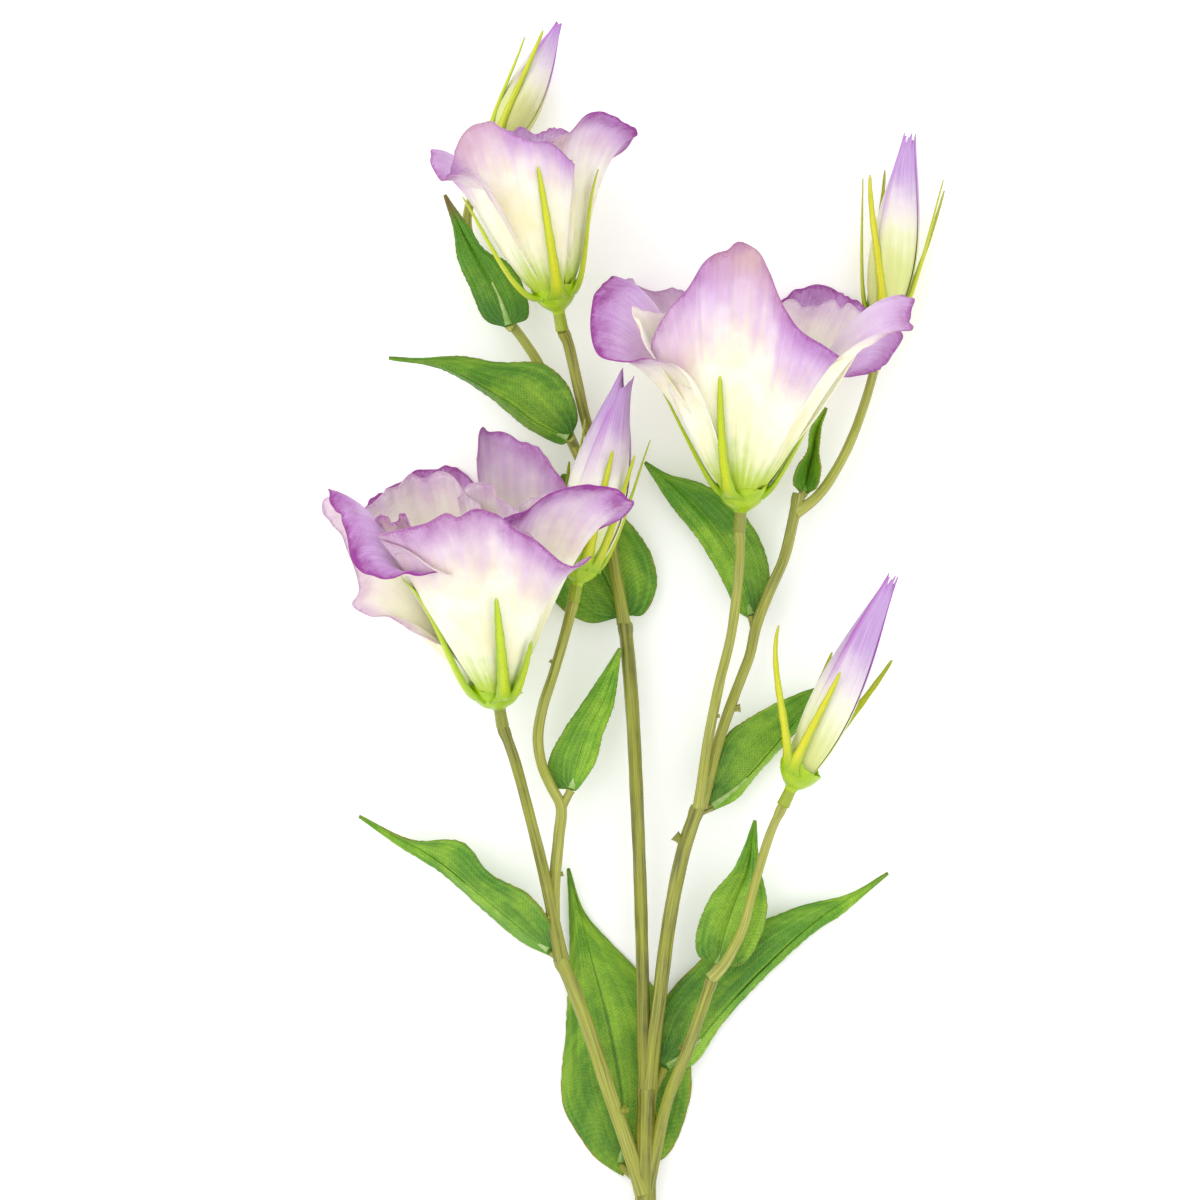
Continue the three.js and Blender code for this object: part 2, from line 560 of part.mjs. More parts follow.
/** A calyx: a neck that sits on the stem, a cup and five sepals. A bud's cup is smaller. */
function calyxSolid(head) {
  const size = head.cup ?? 1;
  const sized = ([radius, height]) => (height > 0 ? [radius * size, height * size] : [radius, height]);
  const cup = turned(CUP_PROFILE.map(sized), 8, headFrame(head));
  return join([cup, ...head.sepals.map((sepal) => sepalSolid(head, sepal, size))]);
}

// ---- The three blooms

const BLOOMS = {
  left_bloom: {
    base: [-37.8, 18.6, 17.6],
    axis: [-0.15, 0.92, 0.36],
    cup: 1.1,
    petals: [
      {
        rim: [[-51, 55.7, 59], [-57.3, 58.7, 57], [-64.2, 62.3, 55], [-71, 64.8, 52], [-64.1, 66.1, 58],
              [-57.1, 68.4, 63], [-51.1, 71.4, 66], [-48.4, 70.6, 67], [-44.9, 72.7, 67], [-41.7, 73, 66],
              [-37.4, 70.9, 65], [-32.8, 67.4, 63], [-27.4, 63.6, 61], [-22.8, 59.8, 58], [-19, 57.9, 54],
              [-15.3, 58.2, 50], [-12.8, 60.7, 47]],
        flare: [70, 16, 70],
      },
      {
        rim: [[-37.1, 70.5, 46], [-28.9, 73.2, 49], [-20.7, 76.5, 49], [-12.5, 80.1, 48],
              [-6.5, 79.3, 47], [-1.6, 75.2, 45], [-0.2, 73.1, 42], [-3.8, 70.1, 39], [-10.9, 67.6, 37]],
        flare: [20, 72, 105],
      },
      {
        rim: [[-19.2, 78.3, 26], [-22, 83.3, 22], [-23.9, 87.3, 18], [-27, 90.7, 15], [-32.9, 92.4, 13],
              [-37.6, 95.2, 12], [-41.2, 94.9, 12], [-42.3, 96, 13], [-43.6, 89.5, 18], [-43.8, 82.2, 24]],
        flare: [20, 8, 14],
      },
      {
        rim: [[-43.9, 79.7, 6], [-48.4, 83.7, 0], [-52.7, 85.7, -3], [-56.9, 84.6, -3], [-60.8, 84.9, -2],
              [-64.6, 81.4, 2], [-69.7, 78.5, 8], [-74.7, 74.8, 18]],
        flare: [20, 30, 50],
      },
      {
        rim: [[-80.6, 75.6, 16], [-85.2, 76.7, 18], [-86.8, 74.2, 20], [-85.1, 69.5, 22],
              [-80.3, 63.1, 24], [-76.9, 52, 27], [-77.9, 47.1, 29], [-73.7, 43.5, 30], [-64.8, 41, 32],
              [-54.9, 36.6, 34]],
        flare: [90, 105, 60],
      },
      {
        rim: [[-84.7, 79.2, 38], [-83, 74.5, 40], [-80.9, 70.3, 43], [-78.6, 64.3, 47], [-77.4, 59.3, 50],
              [-73.5, 55.8, 52], [-66.9, 53.9, 54], [-58.7, 54.1, 55], [-53.3, 55.2, 54],
              [-48.7, 55.5, 51]],
        flare: [70, 112, 60],
      },
      {
        inner: true,
        rim: [[-42.8, 72.6, 34], [-47.3, 78, 27], [-51.3, 82.2, 23], [-54.9, 83.3, 21], [-58, 81.1, 21],
              [-61.3, 82.7, 22], [-65.6, 80.2, 25], [-70.4, 76.8, 30], [-74.1, 73.1, 36]],
        flare: [10, 10, 20],
      },
      {
        inner: true,
        rim: [[-33.1, 72.3, 40], [-37.3, 76.5, 34], [-40.7, 79.8, 30], [-43.7, 80.7, 28],
              [-46.8, 79.1, 27], [-49, 75.5, 28]],
        flare: [10, 5, 10],
      },
      {
        inner: true,
        rim: [[-69, 71.5, 38], [-71.1, 70.1, 42], [-67.7, 70.3, 46], [-64.9, 70, 49], [-64.3, 71.6, 51],
              [-62.5, 68.3, 54], [-59.7, 66.6, 57]],
        flare: [10, 20, 20],
      },
      {
        inner: true,
        rim: [[-52.2, 66.4, 55], [-46.4, 68, 58], [-40.2, 69, 58], [-33.4, 67.7, 56], [-28.9, 65.6, 50]],
        flare: [0, 5, 5],
      },
      {
        inner: true,
        rim: [[-16.6, 74.6, 46], [-20.7, 77.7, 45], [-24.9, 77.2, 41], [-29, 75.3, 36], [-33.5, 73.2, 31]],
        flare: [10, 20, 10],
      },
    ],
    sepals: [
      { tip: [-38.1, 48.4, 51.6], lean: 44, flare: 16 },
      { tip: [-28.7, 36.6, 40], lean: 44, flare: 24 },
      { tip: [-29.5, 51, 10.3], lean: 36, flare: 32 },
      { tip: [-56.6, 49.5, 8.6], lean: 44, flare: 24 },
      { tip: [-63.6, 53.6, 46], lean: 36, flare: 40 },
    ],
  },
  right_bloom: {
    base: [29.2, 73.2, 20.2],
    axis: [0.06, 0.98, 0.16],
    cup: 1,
    petals: [
      {
        rim: [[5.3, 115.8, 42], [5.8, 120.6, 45], [8.5, 127.3, 48], [13.6, 132.4, 50], [18, 139.1, 51],
              [21.8, 142.1, 51], [25.1, 143.2, 51], [27.8, 145.2, 50], [31.9, 144.3, 50],
              [34.6, 141.1, 50], [37.9, 133.9, 51], [40.9, 126.6, 51], [44.4, 121.4, 51],
              [50.7, 118.2, 49], [54.7, 115.1, 46]],
        flare: [30, 2, 40],
      },
      {
        rim: [[58.4, 115.6, 47], [66.1, 118.9, 46], [75.8, 121.7, 43], [75.4, 125.7, 40],
              [76.7, 130.5, 36], [70.9, 129.9, 31], [64.2, 126.6, 26]],
        flare: [70, 95, 60],
      },
      {
        rim: [[57.2, 111.5, 22], [60.9, 109.7, 19], [65.7, 110.6, 17], [70.1, 113.7, 16],
              [72.9, 117.8, 16], [72.8, 122.8, 18], [69.1, 125.9, 22]],
        flare: [110, 130, 110],
      },
      {
        rim: [[65.1, 125, 18], [63.6, 129.3, 13], [59.9, 132.4, 7], [55.7, 135.2, 0], [50.8, 136.5, -3],
              [47.4, 134.8, -3], [44.9, 134.5, -3], [42.3, 132.2, 0], [37.6, 130.5, 6]],
        flare: [40, 30, 20],
      },
      {
        rim: [[18.2, 132.3, 3], [13.7, 134.4, -1], [9, 135.1, -3], [5.6, 134, -3], [1.4, 136.6, 0],
              [-2, 137.1, 8], [-4.3, 135.5, 18]],
        flare: [20, 35, 60],
      },
      {
        rim: [[-3.2, 135.2, 24], [-5.7, 138.1, 27], [-9, 135, 29], [-11.5, 131, 32], [-12.5, 124.8, 36],
              [-11.2, 118.6, 40], [-7.9, 113.2, 44], [-1.6, 110.9, 47], [4.4, 110.3, 49],
              [9.8, 110.8, 50], [14.2, 108.1, 51], [16.9, 103.7, 52]],
        flare: [75, 95, 60],
      },
      {
        inner: true,
        rim: [[64.4, 124.3, 34], [61.3, 128.4, 29], [59.2, 129.3, 27], [57.1, 128, 25], [54.1, 130.9, 22],
              [50.6, 130.1, 20], [47.3, 129.1, 19], [44.8, 130.5, 18], [40.7, 130.2, 18],
              [36.8, 128.8, 19]],
        flare: [20, 25, 20],
      },
      {
        inner: true,
        rim: [[18, 131.3, 14], [12.4, 128, 18], [7.4, 126.5, 22], [3.4, 127.9, 27], [0.7, 129.4, 31],
              [-1.3, 128.1, 36], [0.1, 123.2, 41], [3.9, 116.7, 45]],
        flare: [20, 30, 20],
      },
      {
        inner: true,
        rim: [[15.4, 125.2, 38], [20.9, 128.4, 40], [27.7, 129.5, 41], [34.6, 127.9, 40],
              [40.9, 124.1, 38]],
        flare: [0, 0, 5],
      },
      {
        inner: true,
        rim: [[40.7, 127.8, 16], [34.1, 130.1, 14], [28.6, 130.7, 13], [21.9, 129.6, 14],
              [15.2, 127.8, 16]],
        flare: [5, 10, 5],
      },
    ],
    sepals: [
      { tip: [23, 109.2, 44.8], lean: 56, flare: 8 },
      { tip: [53.4, 105.6, 26], lean: 36, flare: 32 },
      { tip: [45.3, 100.5, 8.6], lean: 52, flare: 32 },
      { tip: [18.5, 102.8, 4.7], lean: 40, flare: 24 },
      { tip: [5.6, 109.3, 30], lean: 36, flare: 32 },
    ],
  },
  top_bloom: {
    base: [-21.4, 128.6, 23.8],
    axis: [-0.18, 0.96, 0.14],
    cup: 0.9,
    petals: [
      {
        rim: [[-49.1, 163.3, 35], [-50.4, 167.1, 40], [-49.4, 171.5, 44], [-46.9, 175.1, 47],
              [-43.4, 177.5, 48], [-39, 178.1, 50], [-34.9, 175.9, 51], [-29.9, 173.4, 52],
              [-24.8, 172.3, 51], [-20.7, 170.9, 48], [-17.5, 167.1, 43]],
        flare: [30, 8, 20],
      },
      {
        rim: [[-24, 173.4, 43], [-17.2, 176.7, 44], [-11.4, 180, 43], [-6, 180.8, 40], [-1.6, 179.1, 37],
              [0.7, 176.3, 33], [-1.5, 172.8, 28], [-8.1, 169.8, 23]],
        flare: [20, 80, 90],
      },
      {
        rim: [[-15.9, 176.8, 22], [-20.1, 178.2, 18], [-23.7, 179.2, 16], [-27.6, 177.8, 16],
              [-30.9, 178.6, 16], [-34.2, 178.3, 17], [-38.1, 177.1, 18]],
        flare: [20, 14, 10],
      },
      {
        rim: [[-34.8, 177.2, 17], [-39.2, 177.7, 17], [-43.6, 176.5, 18], [-47.5, 174.7, 20],
              [-49.6, 171.7, 24]],
        flare: [10, 14, 30],
      },
      {
        rim: [[-49.6, 166.5, 24], [-52.8, 169.6, 27], [-56.1, 171, 31], [-56.5, 167.9, 35],
              [-53.9, 164.3, 41], [-50.2, 163.9, 47], [-46.3, 164.2, 51], [-42.7, 161.9, 53],
              [-39.5, 157.5, 53]],
        flare: [80, 85, 35],
      },
      {
        inner: true,
        rim: [[-37.2, 169, 40], [-33.3, 172.1, 42], [-28.1, 173.2, 43], [-21.8, 171.3, 42],
              [-18, 168.2, 39]],
        flare: [0, 0, 0],
      },
      {
        inner: true,
        rim: [[-14.7, 171, 34], [-15.6, 174.6, 30], [-19.5, 176.6, 25], [-23.4, 176.8, 22],
              [-27.8, 175.5, 21]],
        flare: [5, 10, 5],
      },
      {
        inner: true,
        rim: [[-32.5, 174.7, 20], [-36.9, 174.9, 22], [-41.3, 172.9, 27], [-43.4, 169.7, 33],
              [-42.2, 166.4, 38]],
        flare: [5, 10, 5],
      },
    ],
    sepals: [
      { tip: [-26.7, 165.9, 50.2], lean: 52, flare: 8 },
      { tip: [-10.3, 166.3, 35], lean: 36, flare: 32 },
      { tip: [-19, 158, 16.7], lean: 36, flare: 16 },
      { tip: [-34.6, 156.1, 15.8], lean: 44, flare: 8 },
      { tip: [-47.4, 158.5, 37], lean: 60, flare: 24 },
    ],
  },
};

// ---- Stamens and pistil

const STAMEN_COUNT = 5;

/** The centre of a bloom: a pistil with a two-lobed stigma, among five stamens on a small disc. */
function centreSolid(head) {
  const frame = headFrame(head);
  const place = (x, y, z) => new THREE.Vector3(x, y, z).applyMatrix4(frame);
  const foot = CORE_PROFILE.at(-1)[1] + CLEARANCE;
  const heights = [[0, 0], [2.4, 0], [2.6, 3], [2, 7], [0.9, 9], [0.9, 14], [0, 14]];
  const pistil = heights.map(([radius, height]) => [radius, foot + height]);
  const solids = [turned(pistil, 6, frame)];
  for (const side of [-1, 1]) {
    const lobe = new THREE.LineCurve3(place(0, 0, foot + 13.4), place(0, side * 2.4, foot + 16));
    solids.push(rod(lobe, (t) => 0.9 + 0.5 * t, 1, 5));
  }
  for (let k = 0; k < STAMEN_COUNT; k++) {
    const angle = radians(36 + (360 * k) / STAMEN_COUNT);
    const at = (radius, height) => place(radius * Math.cos(angle), radius * Math.sin(angle), height);
    const places = [at(1.5, foot + 1.5), at(3.6, foot + 5), at(5, foot + 10), at(5.6, foot + 14)];
    const stamen = new THREE.CatmullRomCurve3(places);
    solids.push(rod(stamen, (t) => (t < 0.6 ? 0.45 : 1.6 - t), 2, 4));
  }
  return join(solids);
}

// ---- Buds

const BUD_FOLDS = 5; // rolled petals, each lapped over the next
const BUD_RINGS = 6;

/** A closed bud: petals rolled round each other, whose free edges show as slanting ridges. */
function budSolid(head, grow = 0) {
  const frame = headFrame(head);
  const { length, radius, turn = 110, tip = 1.1 } = head;
  const sections = [];
  for (let i = 0; i <= BUD_RINGS; i++) {
    const t = i / BUD_RINGS;
    const swell = ease([0.42, 1.45, 0.95, 0.02], t) * radius + tip * t;
    const ring = [];
    for (let k = 0; k < BUD_FOLDS * 3; k++) {
      const share = (k % 3) / 2;
      const angle = radians((360 * (k - 0.9 * (k % 3 === 2 ? -0.4 : 0))) / (BUD_FOLDS * 3) + turn * t);
      const reach = swell * (0.93 + 0.14 * share) + grow;
      const height = THREE.MathUtils.lerp(1.6 - grow, length + grow, t);
      const place = new THREE.Vector3(reach * Math.cos(angle), reach * Math.sin(angle), height);
      ring.push(place.applyMatrix4(frame));
    }
    sections.push(ring);
  }
  return loft(sections);
}

const BUDS = {
  top_bud: {
    base: [-38.8, 171.4, 7.9], axis: [0.42, 0.9, 0.01], length: 41, radius: 4.9, tip: 0.8, cup: 0.66,
    sepals: [
      { tip: [-25.6, 206.2, 14.5] },
      { tip: [-27, 190, 3] },
      { tip: [-25.6, 191.7, 2.2] },
      { tip: [-31.8, 194.6, 2.4] },
      { tip: [-30.7, 204.6, 11] },
    ],
  },
  right_bud: {
    base: [68.6, 123, 8.7], axis: [0.145, 0.98, 0.02], length: 54, radius: 5.3, tip: 1.8, cup: 0.72,
    sepals: [
      { tip: [65.7, 165.9, 15] },
      { tip: [85.7, 164.8, 11] },
      { tip: [77.8, 158.3, 2.6] },
      { tip: [69.8, 168, 4] },
      { tip: [64.1, 165.5, 8] },
    ],
  },
  middle_bud: {
    base: [-15.9, 53.6, 20.6], axis: [0.21, 0.97, 0.03], length: 62, radius: 7.2, tip: 0.8, cup: 0.86,
    sepals: [
      { tip: [-6.2, 89.2, 31] },
      { tip: [-0.2, 87.8, 29] },
      { tip: [4, 92.2, 22] },
      { tip: [-18.3, 86.5, 13.5] },
      { tip: [-13.9, 98, 20] },
    ],
  },
  low_bud: {
    base: [43.6, -3.4, 19.6], axis: [0.43, 0.9, 0.03], length: 63, radius: 6.8, tip: 1.9, cup: 0.84,
    sepals: [
      { tip: [56.4, 28, 29] },
      { tip: [71.4, 31.3, 20] },
      { tip: [64.4, 29.1, 12] },
      { tip: [54.8, 33.4, 12] },
      { tip: [39.8, 41, 20] },
    ],
  },
};

// -------------------------------------------------------------------------------------------------------
// Assembly
// -------------------------------------------------------------------------------------------------------

const spray = new THREE.Group();

/** Adds a solid to the spray as a named mesh with its material. */
function addPiece(name, solid, material) {
  const mesh = solid.getMesh();
  const stride = mesh.numProp;
  const positions = new Float32Array(mesh.numVert * 3);
  for (let i = 0; i < mesh.numVert; i++) {
    positions.set(mesh.vertProperties.subarray(i * stride, i * stride + 3), i * 3);
  }
  const geometry = new THREE.BufferGeometry();
  geometry.setAttribute("position", new THREE.BufferAttribute(positions, 3));
  geometry.setIndex(new THREE.BufferAttribute(mesh.triVerts, 1));
  geometry.computeVertexNormals();
  const piece = new THREE.Mesh(
    geometry,
    new THREE.MeshStandardMaterial({ color: COLOURS[material], roughness: FINISHES[material], metalness: 0 }),
  );
  piece.name = name;
  spray.add(piece);
}

// The stems, each cut clear of the ones that it plugs into or runs beside.
const grownStem = (name) => stemSolid(STEMS[name], CLEARANCE);
for (const [name, stem] of Object.entries(STEMS)) {
  const solid = (stem.clear ?? []).reduce((rest, other) => rest.subtract(grownStem(other)), stemSolid(stem));
  addPiece(name, largest(solid), "stem");
}

// The leaves, each on the stub of its stem.
for (const [name, leaf] of Object.entries(LEAVES)) {
  const stems = [leaf.stem, ...(leaf.clear ?? [])];
  const solid = stems.reduce((rest, stem) => rest.subtract(grownStem(stem)), leafSolid(leaf));
  addPiece(name, largest(solid), "leaf");
}

/** A calyx, cut clear of the stem that carries it and of the petals that it holds, and of their edges. */
function fittedCalyx(name, head, petalsSolid) {
  const stem = Object.values(STEMS).find((each) => each.head === name);
  const cutters = [petalsSolid(head, CLEARANCE), petalsSolid(head), stemSolid(stem, CLEARANCE)];
  return largest(cutters.reduce((rest, cutter) => rest.subtract(cutter), calyxSolid(head)));
}

// The blooms: a corolla in its calyx, with the pistil and stamens in its throat.
for (const [name, head] of Object.entries(BLOOMS)) {
  addPiece(`${name}_corolla`, corollaSolid(head), "petal");
  addPiece(`${name}_calyx`, fittedCalyx(name, head, corollaSolid), "calyx");
  addPiece(`${name}_centre`, centreSolid(head), "centre");
}

// The buds, each in its calyx.
for (const [name, head] of Object.entries(BUDS)) {
  addPiece(`${name}_petals`, budSolid(head), "bud");
  addPiece(`${name}_calyx`, fittedCalyx(name, head, budSolid), "calyx");
}

export default spray;
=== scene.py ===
# The looks of a cut spray of lisianthus, lying on a flat surface: an artificial one, with cloth petals and
# leaves on moulded plastic stems. Sizes and places are in millimetres here, and in metres in the meshes.
# +X is the spray's right, +Y runs from the cut end to the top bud, and +Z is up from the surface.
import math

import bpy
import numpy as np
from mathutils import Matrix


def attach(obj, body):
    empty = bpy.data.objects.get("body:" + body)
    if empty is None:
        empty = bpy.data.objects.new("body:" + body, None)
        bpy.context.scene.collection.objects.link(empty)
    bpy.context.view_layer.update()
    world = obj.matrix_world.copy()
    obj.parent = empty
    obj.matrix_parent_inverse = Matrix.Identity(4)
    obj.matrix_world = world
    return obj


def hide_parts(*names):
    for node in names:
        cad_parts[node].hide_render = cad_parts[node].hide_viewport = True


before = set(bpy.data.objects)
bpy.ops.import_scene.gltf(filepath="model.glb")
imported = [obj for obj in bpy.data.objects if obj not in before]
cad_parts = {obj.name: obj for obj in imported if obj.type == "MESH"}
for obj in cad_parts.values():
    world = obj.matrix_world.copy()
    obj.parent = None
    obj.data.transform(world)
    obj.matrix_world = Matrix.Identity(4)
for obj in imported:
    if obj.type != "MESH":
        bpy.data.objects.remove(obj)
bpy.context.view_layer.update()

# ----------------------------------------------------------------------
# Stems: thirteen sections of olive plastic, moulded over wire. Each plugs into the swollen socket of the one
# before it. They carry the stubs that the leaves plug onto, and the blunt nubs that the mould leaves.
MM = 0.001
UP = np.array([0.0, 0.0, 1.0])
STEM_SIDES = 24
STEM_STEP = 1.2  # between two rings of a stem
STUB_NET = (16, 12)  # faces round it and along it
NUB_NET = (12, 10)
SOCKET_LENGTH = 3.5
SOCKET_SWELL = 0.35
SOCKET_DEPTH = 0.7  # how far a stem reaches into the socket that it plugs into
STUB_RADIUS = 1.15
NECK_LENGTH = 6.3  # from a calyx cup's base to the stem that its neck sits on
OLIVE = "#888b2e"
# The light olive is partly painted highlight on the ridges and partly the paler plastic of some stems; the
# dark olive is painted shade in the grooves.
OLIVE_PALE_AND_HIGHLIGHT = "#bcbe5e"
OLIVE_GROOVE_SHADE = "#4f5117"
OLIVE_FRESH = "#9fa228"

# Where each bloom and bud stands: the base of its calyx cup, and the way that it points.
HEADS = {
    "left_bloom": ((-37.8, 18.6, 17.6), (-0.15, 0.92, 0.36)),
    "right_bloom": ((29.2, 73.2, 20.2), (0.06, 0.98, 0.16)),
    "top_bloom": ((-21.4, 128.6, 23.8), (-0.18, 0.96, 0.14)),
    "top_bud": ((-38.8, 171.4, 7.9), (0.42, 0.9, 0.01)),
    "right_bud": ((68.6, 123, 8.7), (0.145, 0.98, 0.02)),
    "middle_bud": ((-15.9, 53.6, 20.6), (0.21, 0.97, 0.03)),
    "low_bud": ((43.6, -3.4, 19.6), (0.43, 0.9, 0.03)),
}
# Each leaf's stub: the stem that it grows from, its root and its end.
STUBS = {
    "basal_leaf": ("main_stem", (3, -116, 4.8), (-3.9, -110.5, 1.2)),
    "lower_left_leaf": ("left_branch", (-20.2, -52.4, 12.2), (-23.4, -50, 12)),
    "left_bud_leaf": ("left_bud_branch", (-20.5, -9.9, 12.6), (-17.9, -5, 12.6)),
    "round_leaf": ("centre_stem", (-3.0, 40.2, 9.4), (-3.7, 43.4, 6.4)),
    "spear_leaf": ("top_bud_branch", (-17.2, 91, 9.8), (-18.1, 92.9, 13)),
    "dark_leaf": ("top_bud_branch", (-34.6, 124.0, 8.2), (-35.1, 124.1, 13)),
    "right_spear_leaf": ("main_stem", (3.6, -92, 6.8), (8.3, -82.7, 7)),
    "low_right_leaf": ("low_right_branch", (20.6, -59, 13), (22.8, -54, 10.6)),
    "fork_leaf": ("right_stem", (16.8, -11.6, 11.6), (21.1, -9.8, 10)),
    "upper_right_leaf": ("right_side_stem", (33.4, 39.2, 11.1), (32.5, 43.1, 9.4)),
    "side_leaf": ("right_side_stem", (45.2, 75.6, 12), (47, 77.7, 11)),
}
# Each stem's route, how pale it is and its half width at both ends. A nub is a share of the route, an azimuth
# from the stem's top, and a size.
STEMS = {
    "main_stem": dict(
        route=[(0.5, -209.5, 3.1), (1.6, -180, 3.4), (2.6, -150, 4.2), (2.9, -120, 5), (3.0, -103, 6.2),
               (3.4, -88, 7.4)],
        pale=-0.3, radius=(3.7, 2.6), nubs=[(0.32, 60, 0.9), (0.55, 250, 0.8)],
    ),
    "left_branch": dict(
        route=[(2.2, -117, 5.6), (-3.4, -100.5, 7.4), (-7.8, -87.6, 9), (-12.6, -72.5, 10.4),
               (-18, -58, 11.8), (-20.8, -51.8, 12.4)],
        pale=0.1, radius=(2.2, 1.85), forks_from="main_stem", nubs=[(0.33, -60, 1.3)],
    ),
    "left_bloom_stem": dict(
        route=[(-20.8, -51.4, 12.4), (-22.6, -42, 13), (-23.7, -36, 13.3), (-25.8, -26.3, 14),
               (-29.4, -11.5, 15), (-33.6, 3.9, 16)],
        pale=-0.15, radius=(1.75, 1.4), forks_from="left_branch", carries="left_bloom",
    ),
    "left_bud_branch": dict(
        route=[(-23, -40, 12.6), (-22.3, -29, 12), (-21.2, -17.9, 12), (-20.6, -9.5, 12.6),
               (-23.2, -4.2, 13.2), (-25.8, 1.7, 14), (-27, 9.2, 15), (-25.8, 17.6, 16),
               (-22.6, 27.7, 17.6), (-19.6, 38.1, 19.4)],
        pale=0.3, radius=(1.6, 1.35), forks_from="left_bloom_stem", carries="middle_bud",
        nubs=[(0.13, -90, 0.8), (0.8, 90, 0.6)],
    ),
    "centre_stem": dict(
        route=[(3.0, -87.6, 7.6), (2.4, -76, 8), (2.3, -64, 8.4), (2, -50, 8.8), (1.4, -30.5, 9.2),
               (0.4, -8.1, 9.4), (-0.7, 14.3, 9.5), (-2, 31, 9.6), (-3, 41.5, 9.6)],
        pale=-0.3, radius=(1.75, 1.9), forks_from="main_stem",
    ),
    "top_stem": dict(
        route=[(-3.1, 41.9, 9.6), (-5, 53.5, 9.2), (-7.2, 67.5, 8.8), (-9.8, 81.5, 9.6),
               (-12.3, 92.1, 11.4), (-14.3, 99.7, 13.4), (-16.5, 109.5, 16.6), (-18.9, 119.6, 20.4)],
        pale=0.1, radius=(1.6, 1.45), forks_from="centre_stem", carries="top_bloom",
    ),
    "top_bud_branch": dict(
        route=[(-9.6, 80.5, 9.6), (-14, 85.3, 9.8), (-17.2, 91, 9.8), (-20.6, 99.7, 9.6),
               (-24.2, 108.1, 9.4), (-27.4, 114.5, 9.2), (-31.4, 120.6, 8.8), (-35.6, 126.2, 8.2),
               (-39.2, 132.6, 7.4), (-43.2, 141, 6.8), (-46.2, 149, 6.4), (-46.8, 155, 6.4),
               (-45.2, 160.5, 6.6)],
        pale=0.4, radius=(1.45, 1.2), forks_from="top_stem", carries="top_bud",
    ),
    "right_stem": dict(
        route=[(4.0, -87.6, 7.4), (5.0, -76, 8.4), (6.4, -65, 9), (9.8, -40, 10.4), (13.7, -21.3, 11.4),
               (17.6, -9.6, 12)],
        pale=-0.1, radius=(2.1, 1.9), forks_from="main_stem", nubs=[(0.86, 90, 1.7)],
    ),
    "right_bloom_stem": dict(
        route=[(17.7, -9.2, 12.2), (18.3, -4.5, 12.9), (19.9, 7.3, 14), (23.4, 24.9, 15.8),
               (26.6, 38, 17.2), (28.6, 53.5, 18.6), (29.1, 63, 19.4)],
        pale=0.3, radius=(1.45, 1.3), forks_from="right_stem", carries="right_bloom", nubs=[(0.33, -90, 0.6)],
    ),
    "right_side_stem": dict(
        route=[(18.4, -9, 11.4), (20.6, -1.7, 11), (22.9, 7.3, 10.8), (26.8, 19, 10.8),
               (29.8, 26.9, 11), (31.9, 32.5, 11.2), (33.8, 40.9, 11.4), (37.1, 49.6, 11.6),
               (41.4, 59.4, 11.8), (43.8, 69.4, 12), (45.5, 77.6, 12)],
        pale=0.2, radius=(1.45, 1.5), forks_from="right_stem", nubs=[(0.31, -90, 1.3)],
    ),
    "right_bud_branch": dict(
        route=[(45.2, 72.6, 12), (48.8, 75, 12), (52.6, 79, 11.8), (57.6, 87.1, 11.2), (61, 94.6, 10.6),
               (63.8, 102.5, 10), (66, 110, 9.4)],
        pale=0.5, radius=(1.4, 1.2), forks_from="right_side_stem", carries="right_bud",
    ),
    "low_right_branch": dict(
        route=[(3.6, -117.5, 5.4), (5.9, -105.3, 7.2), (9, -91.6, 9.2), (14.1, -78.1, 11.2),
               (18.9, -64.4, 12.8), (21.3, -57.4, 13.6)],
        pale=-0.05, radius=(1.75, 1.55), forks_from="main_stem", nubs=[(0.66, 80, 0.8)],
    ),
    "low_bud_branch": dict(
        route=[(21.5, -57, 13.6), (24.6, -53.6, 14), (27.4, -48.7, 14.6), (29.8, -43.4, 15.2),
               (33.5, -29.4, 16.8), (37.5, -16.5, 18.2)],
        pale=0.4, radius=(1.4, 1.15), forks_from="low_right_branch", carries="low_bud",
    ),
}


def unit(vectors):
    return vectors / np.linalg.norm(vectors, axis=-1, keepdims=True)


def through(points, fine=60):
    """A smooth curve through given points, as a function of the share of its length."""
    knots = np.array(points, float)
    knots = np.vstack([2 * knots[0] - knots[1], knots, 2 * knots[-1] - knots[-2]])
    w = np.linspace(0, 1, fine, endpoint=False)[:, None]
    trail = []
    for a, b, c, d in zip(knots, knots[1:], knots[2:], knots[3:]):
        before, here, after = (np.linalg.norm(q - p) ** 0.5 for p, q in ((a, b), (b, c), (c, d)))
        leave = ((b - a) / before - (c - a) / (before + here) + (c - b) / here) * here
        arrive = ((c - b) / here - (d - b) / (here + after) + (d - c) / after) * here
        bend = (2 * b - 2 * c + leave + arrive) * w**3 + (3 * c - 3 * b - 2 * leave - arrive) * w**2
        trail.append(b + leave * w + bend)
    trail = np.vstack(trail + [knots[-2:-1]])
    travelled = np.concatenate([[0], np.cumsum(np.linalg.norm(np.diff(trail, axis=0), axis=1))])

    def at(share):
        return np.stack([np.interp(share * travelled[-1], travelled, trail[:, i]) for i in range(3)], -1)

    at.length = travelled[-1]
    return at


def heading_of(curve, share):
    """The way a curve runs, at each share of its length."""
    return unit(curve(np.minimum(share + 0.01, 1)) - curve(np.maximum(share - 0.01, 0)))


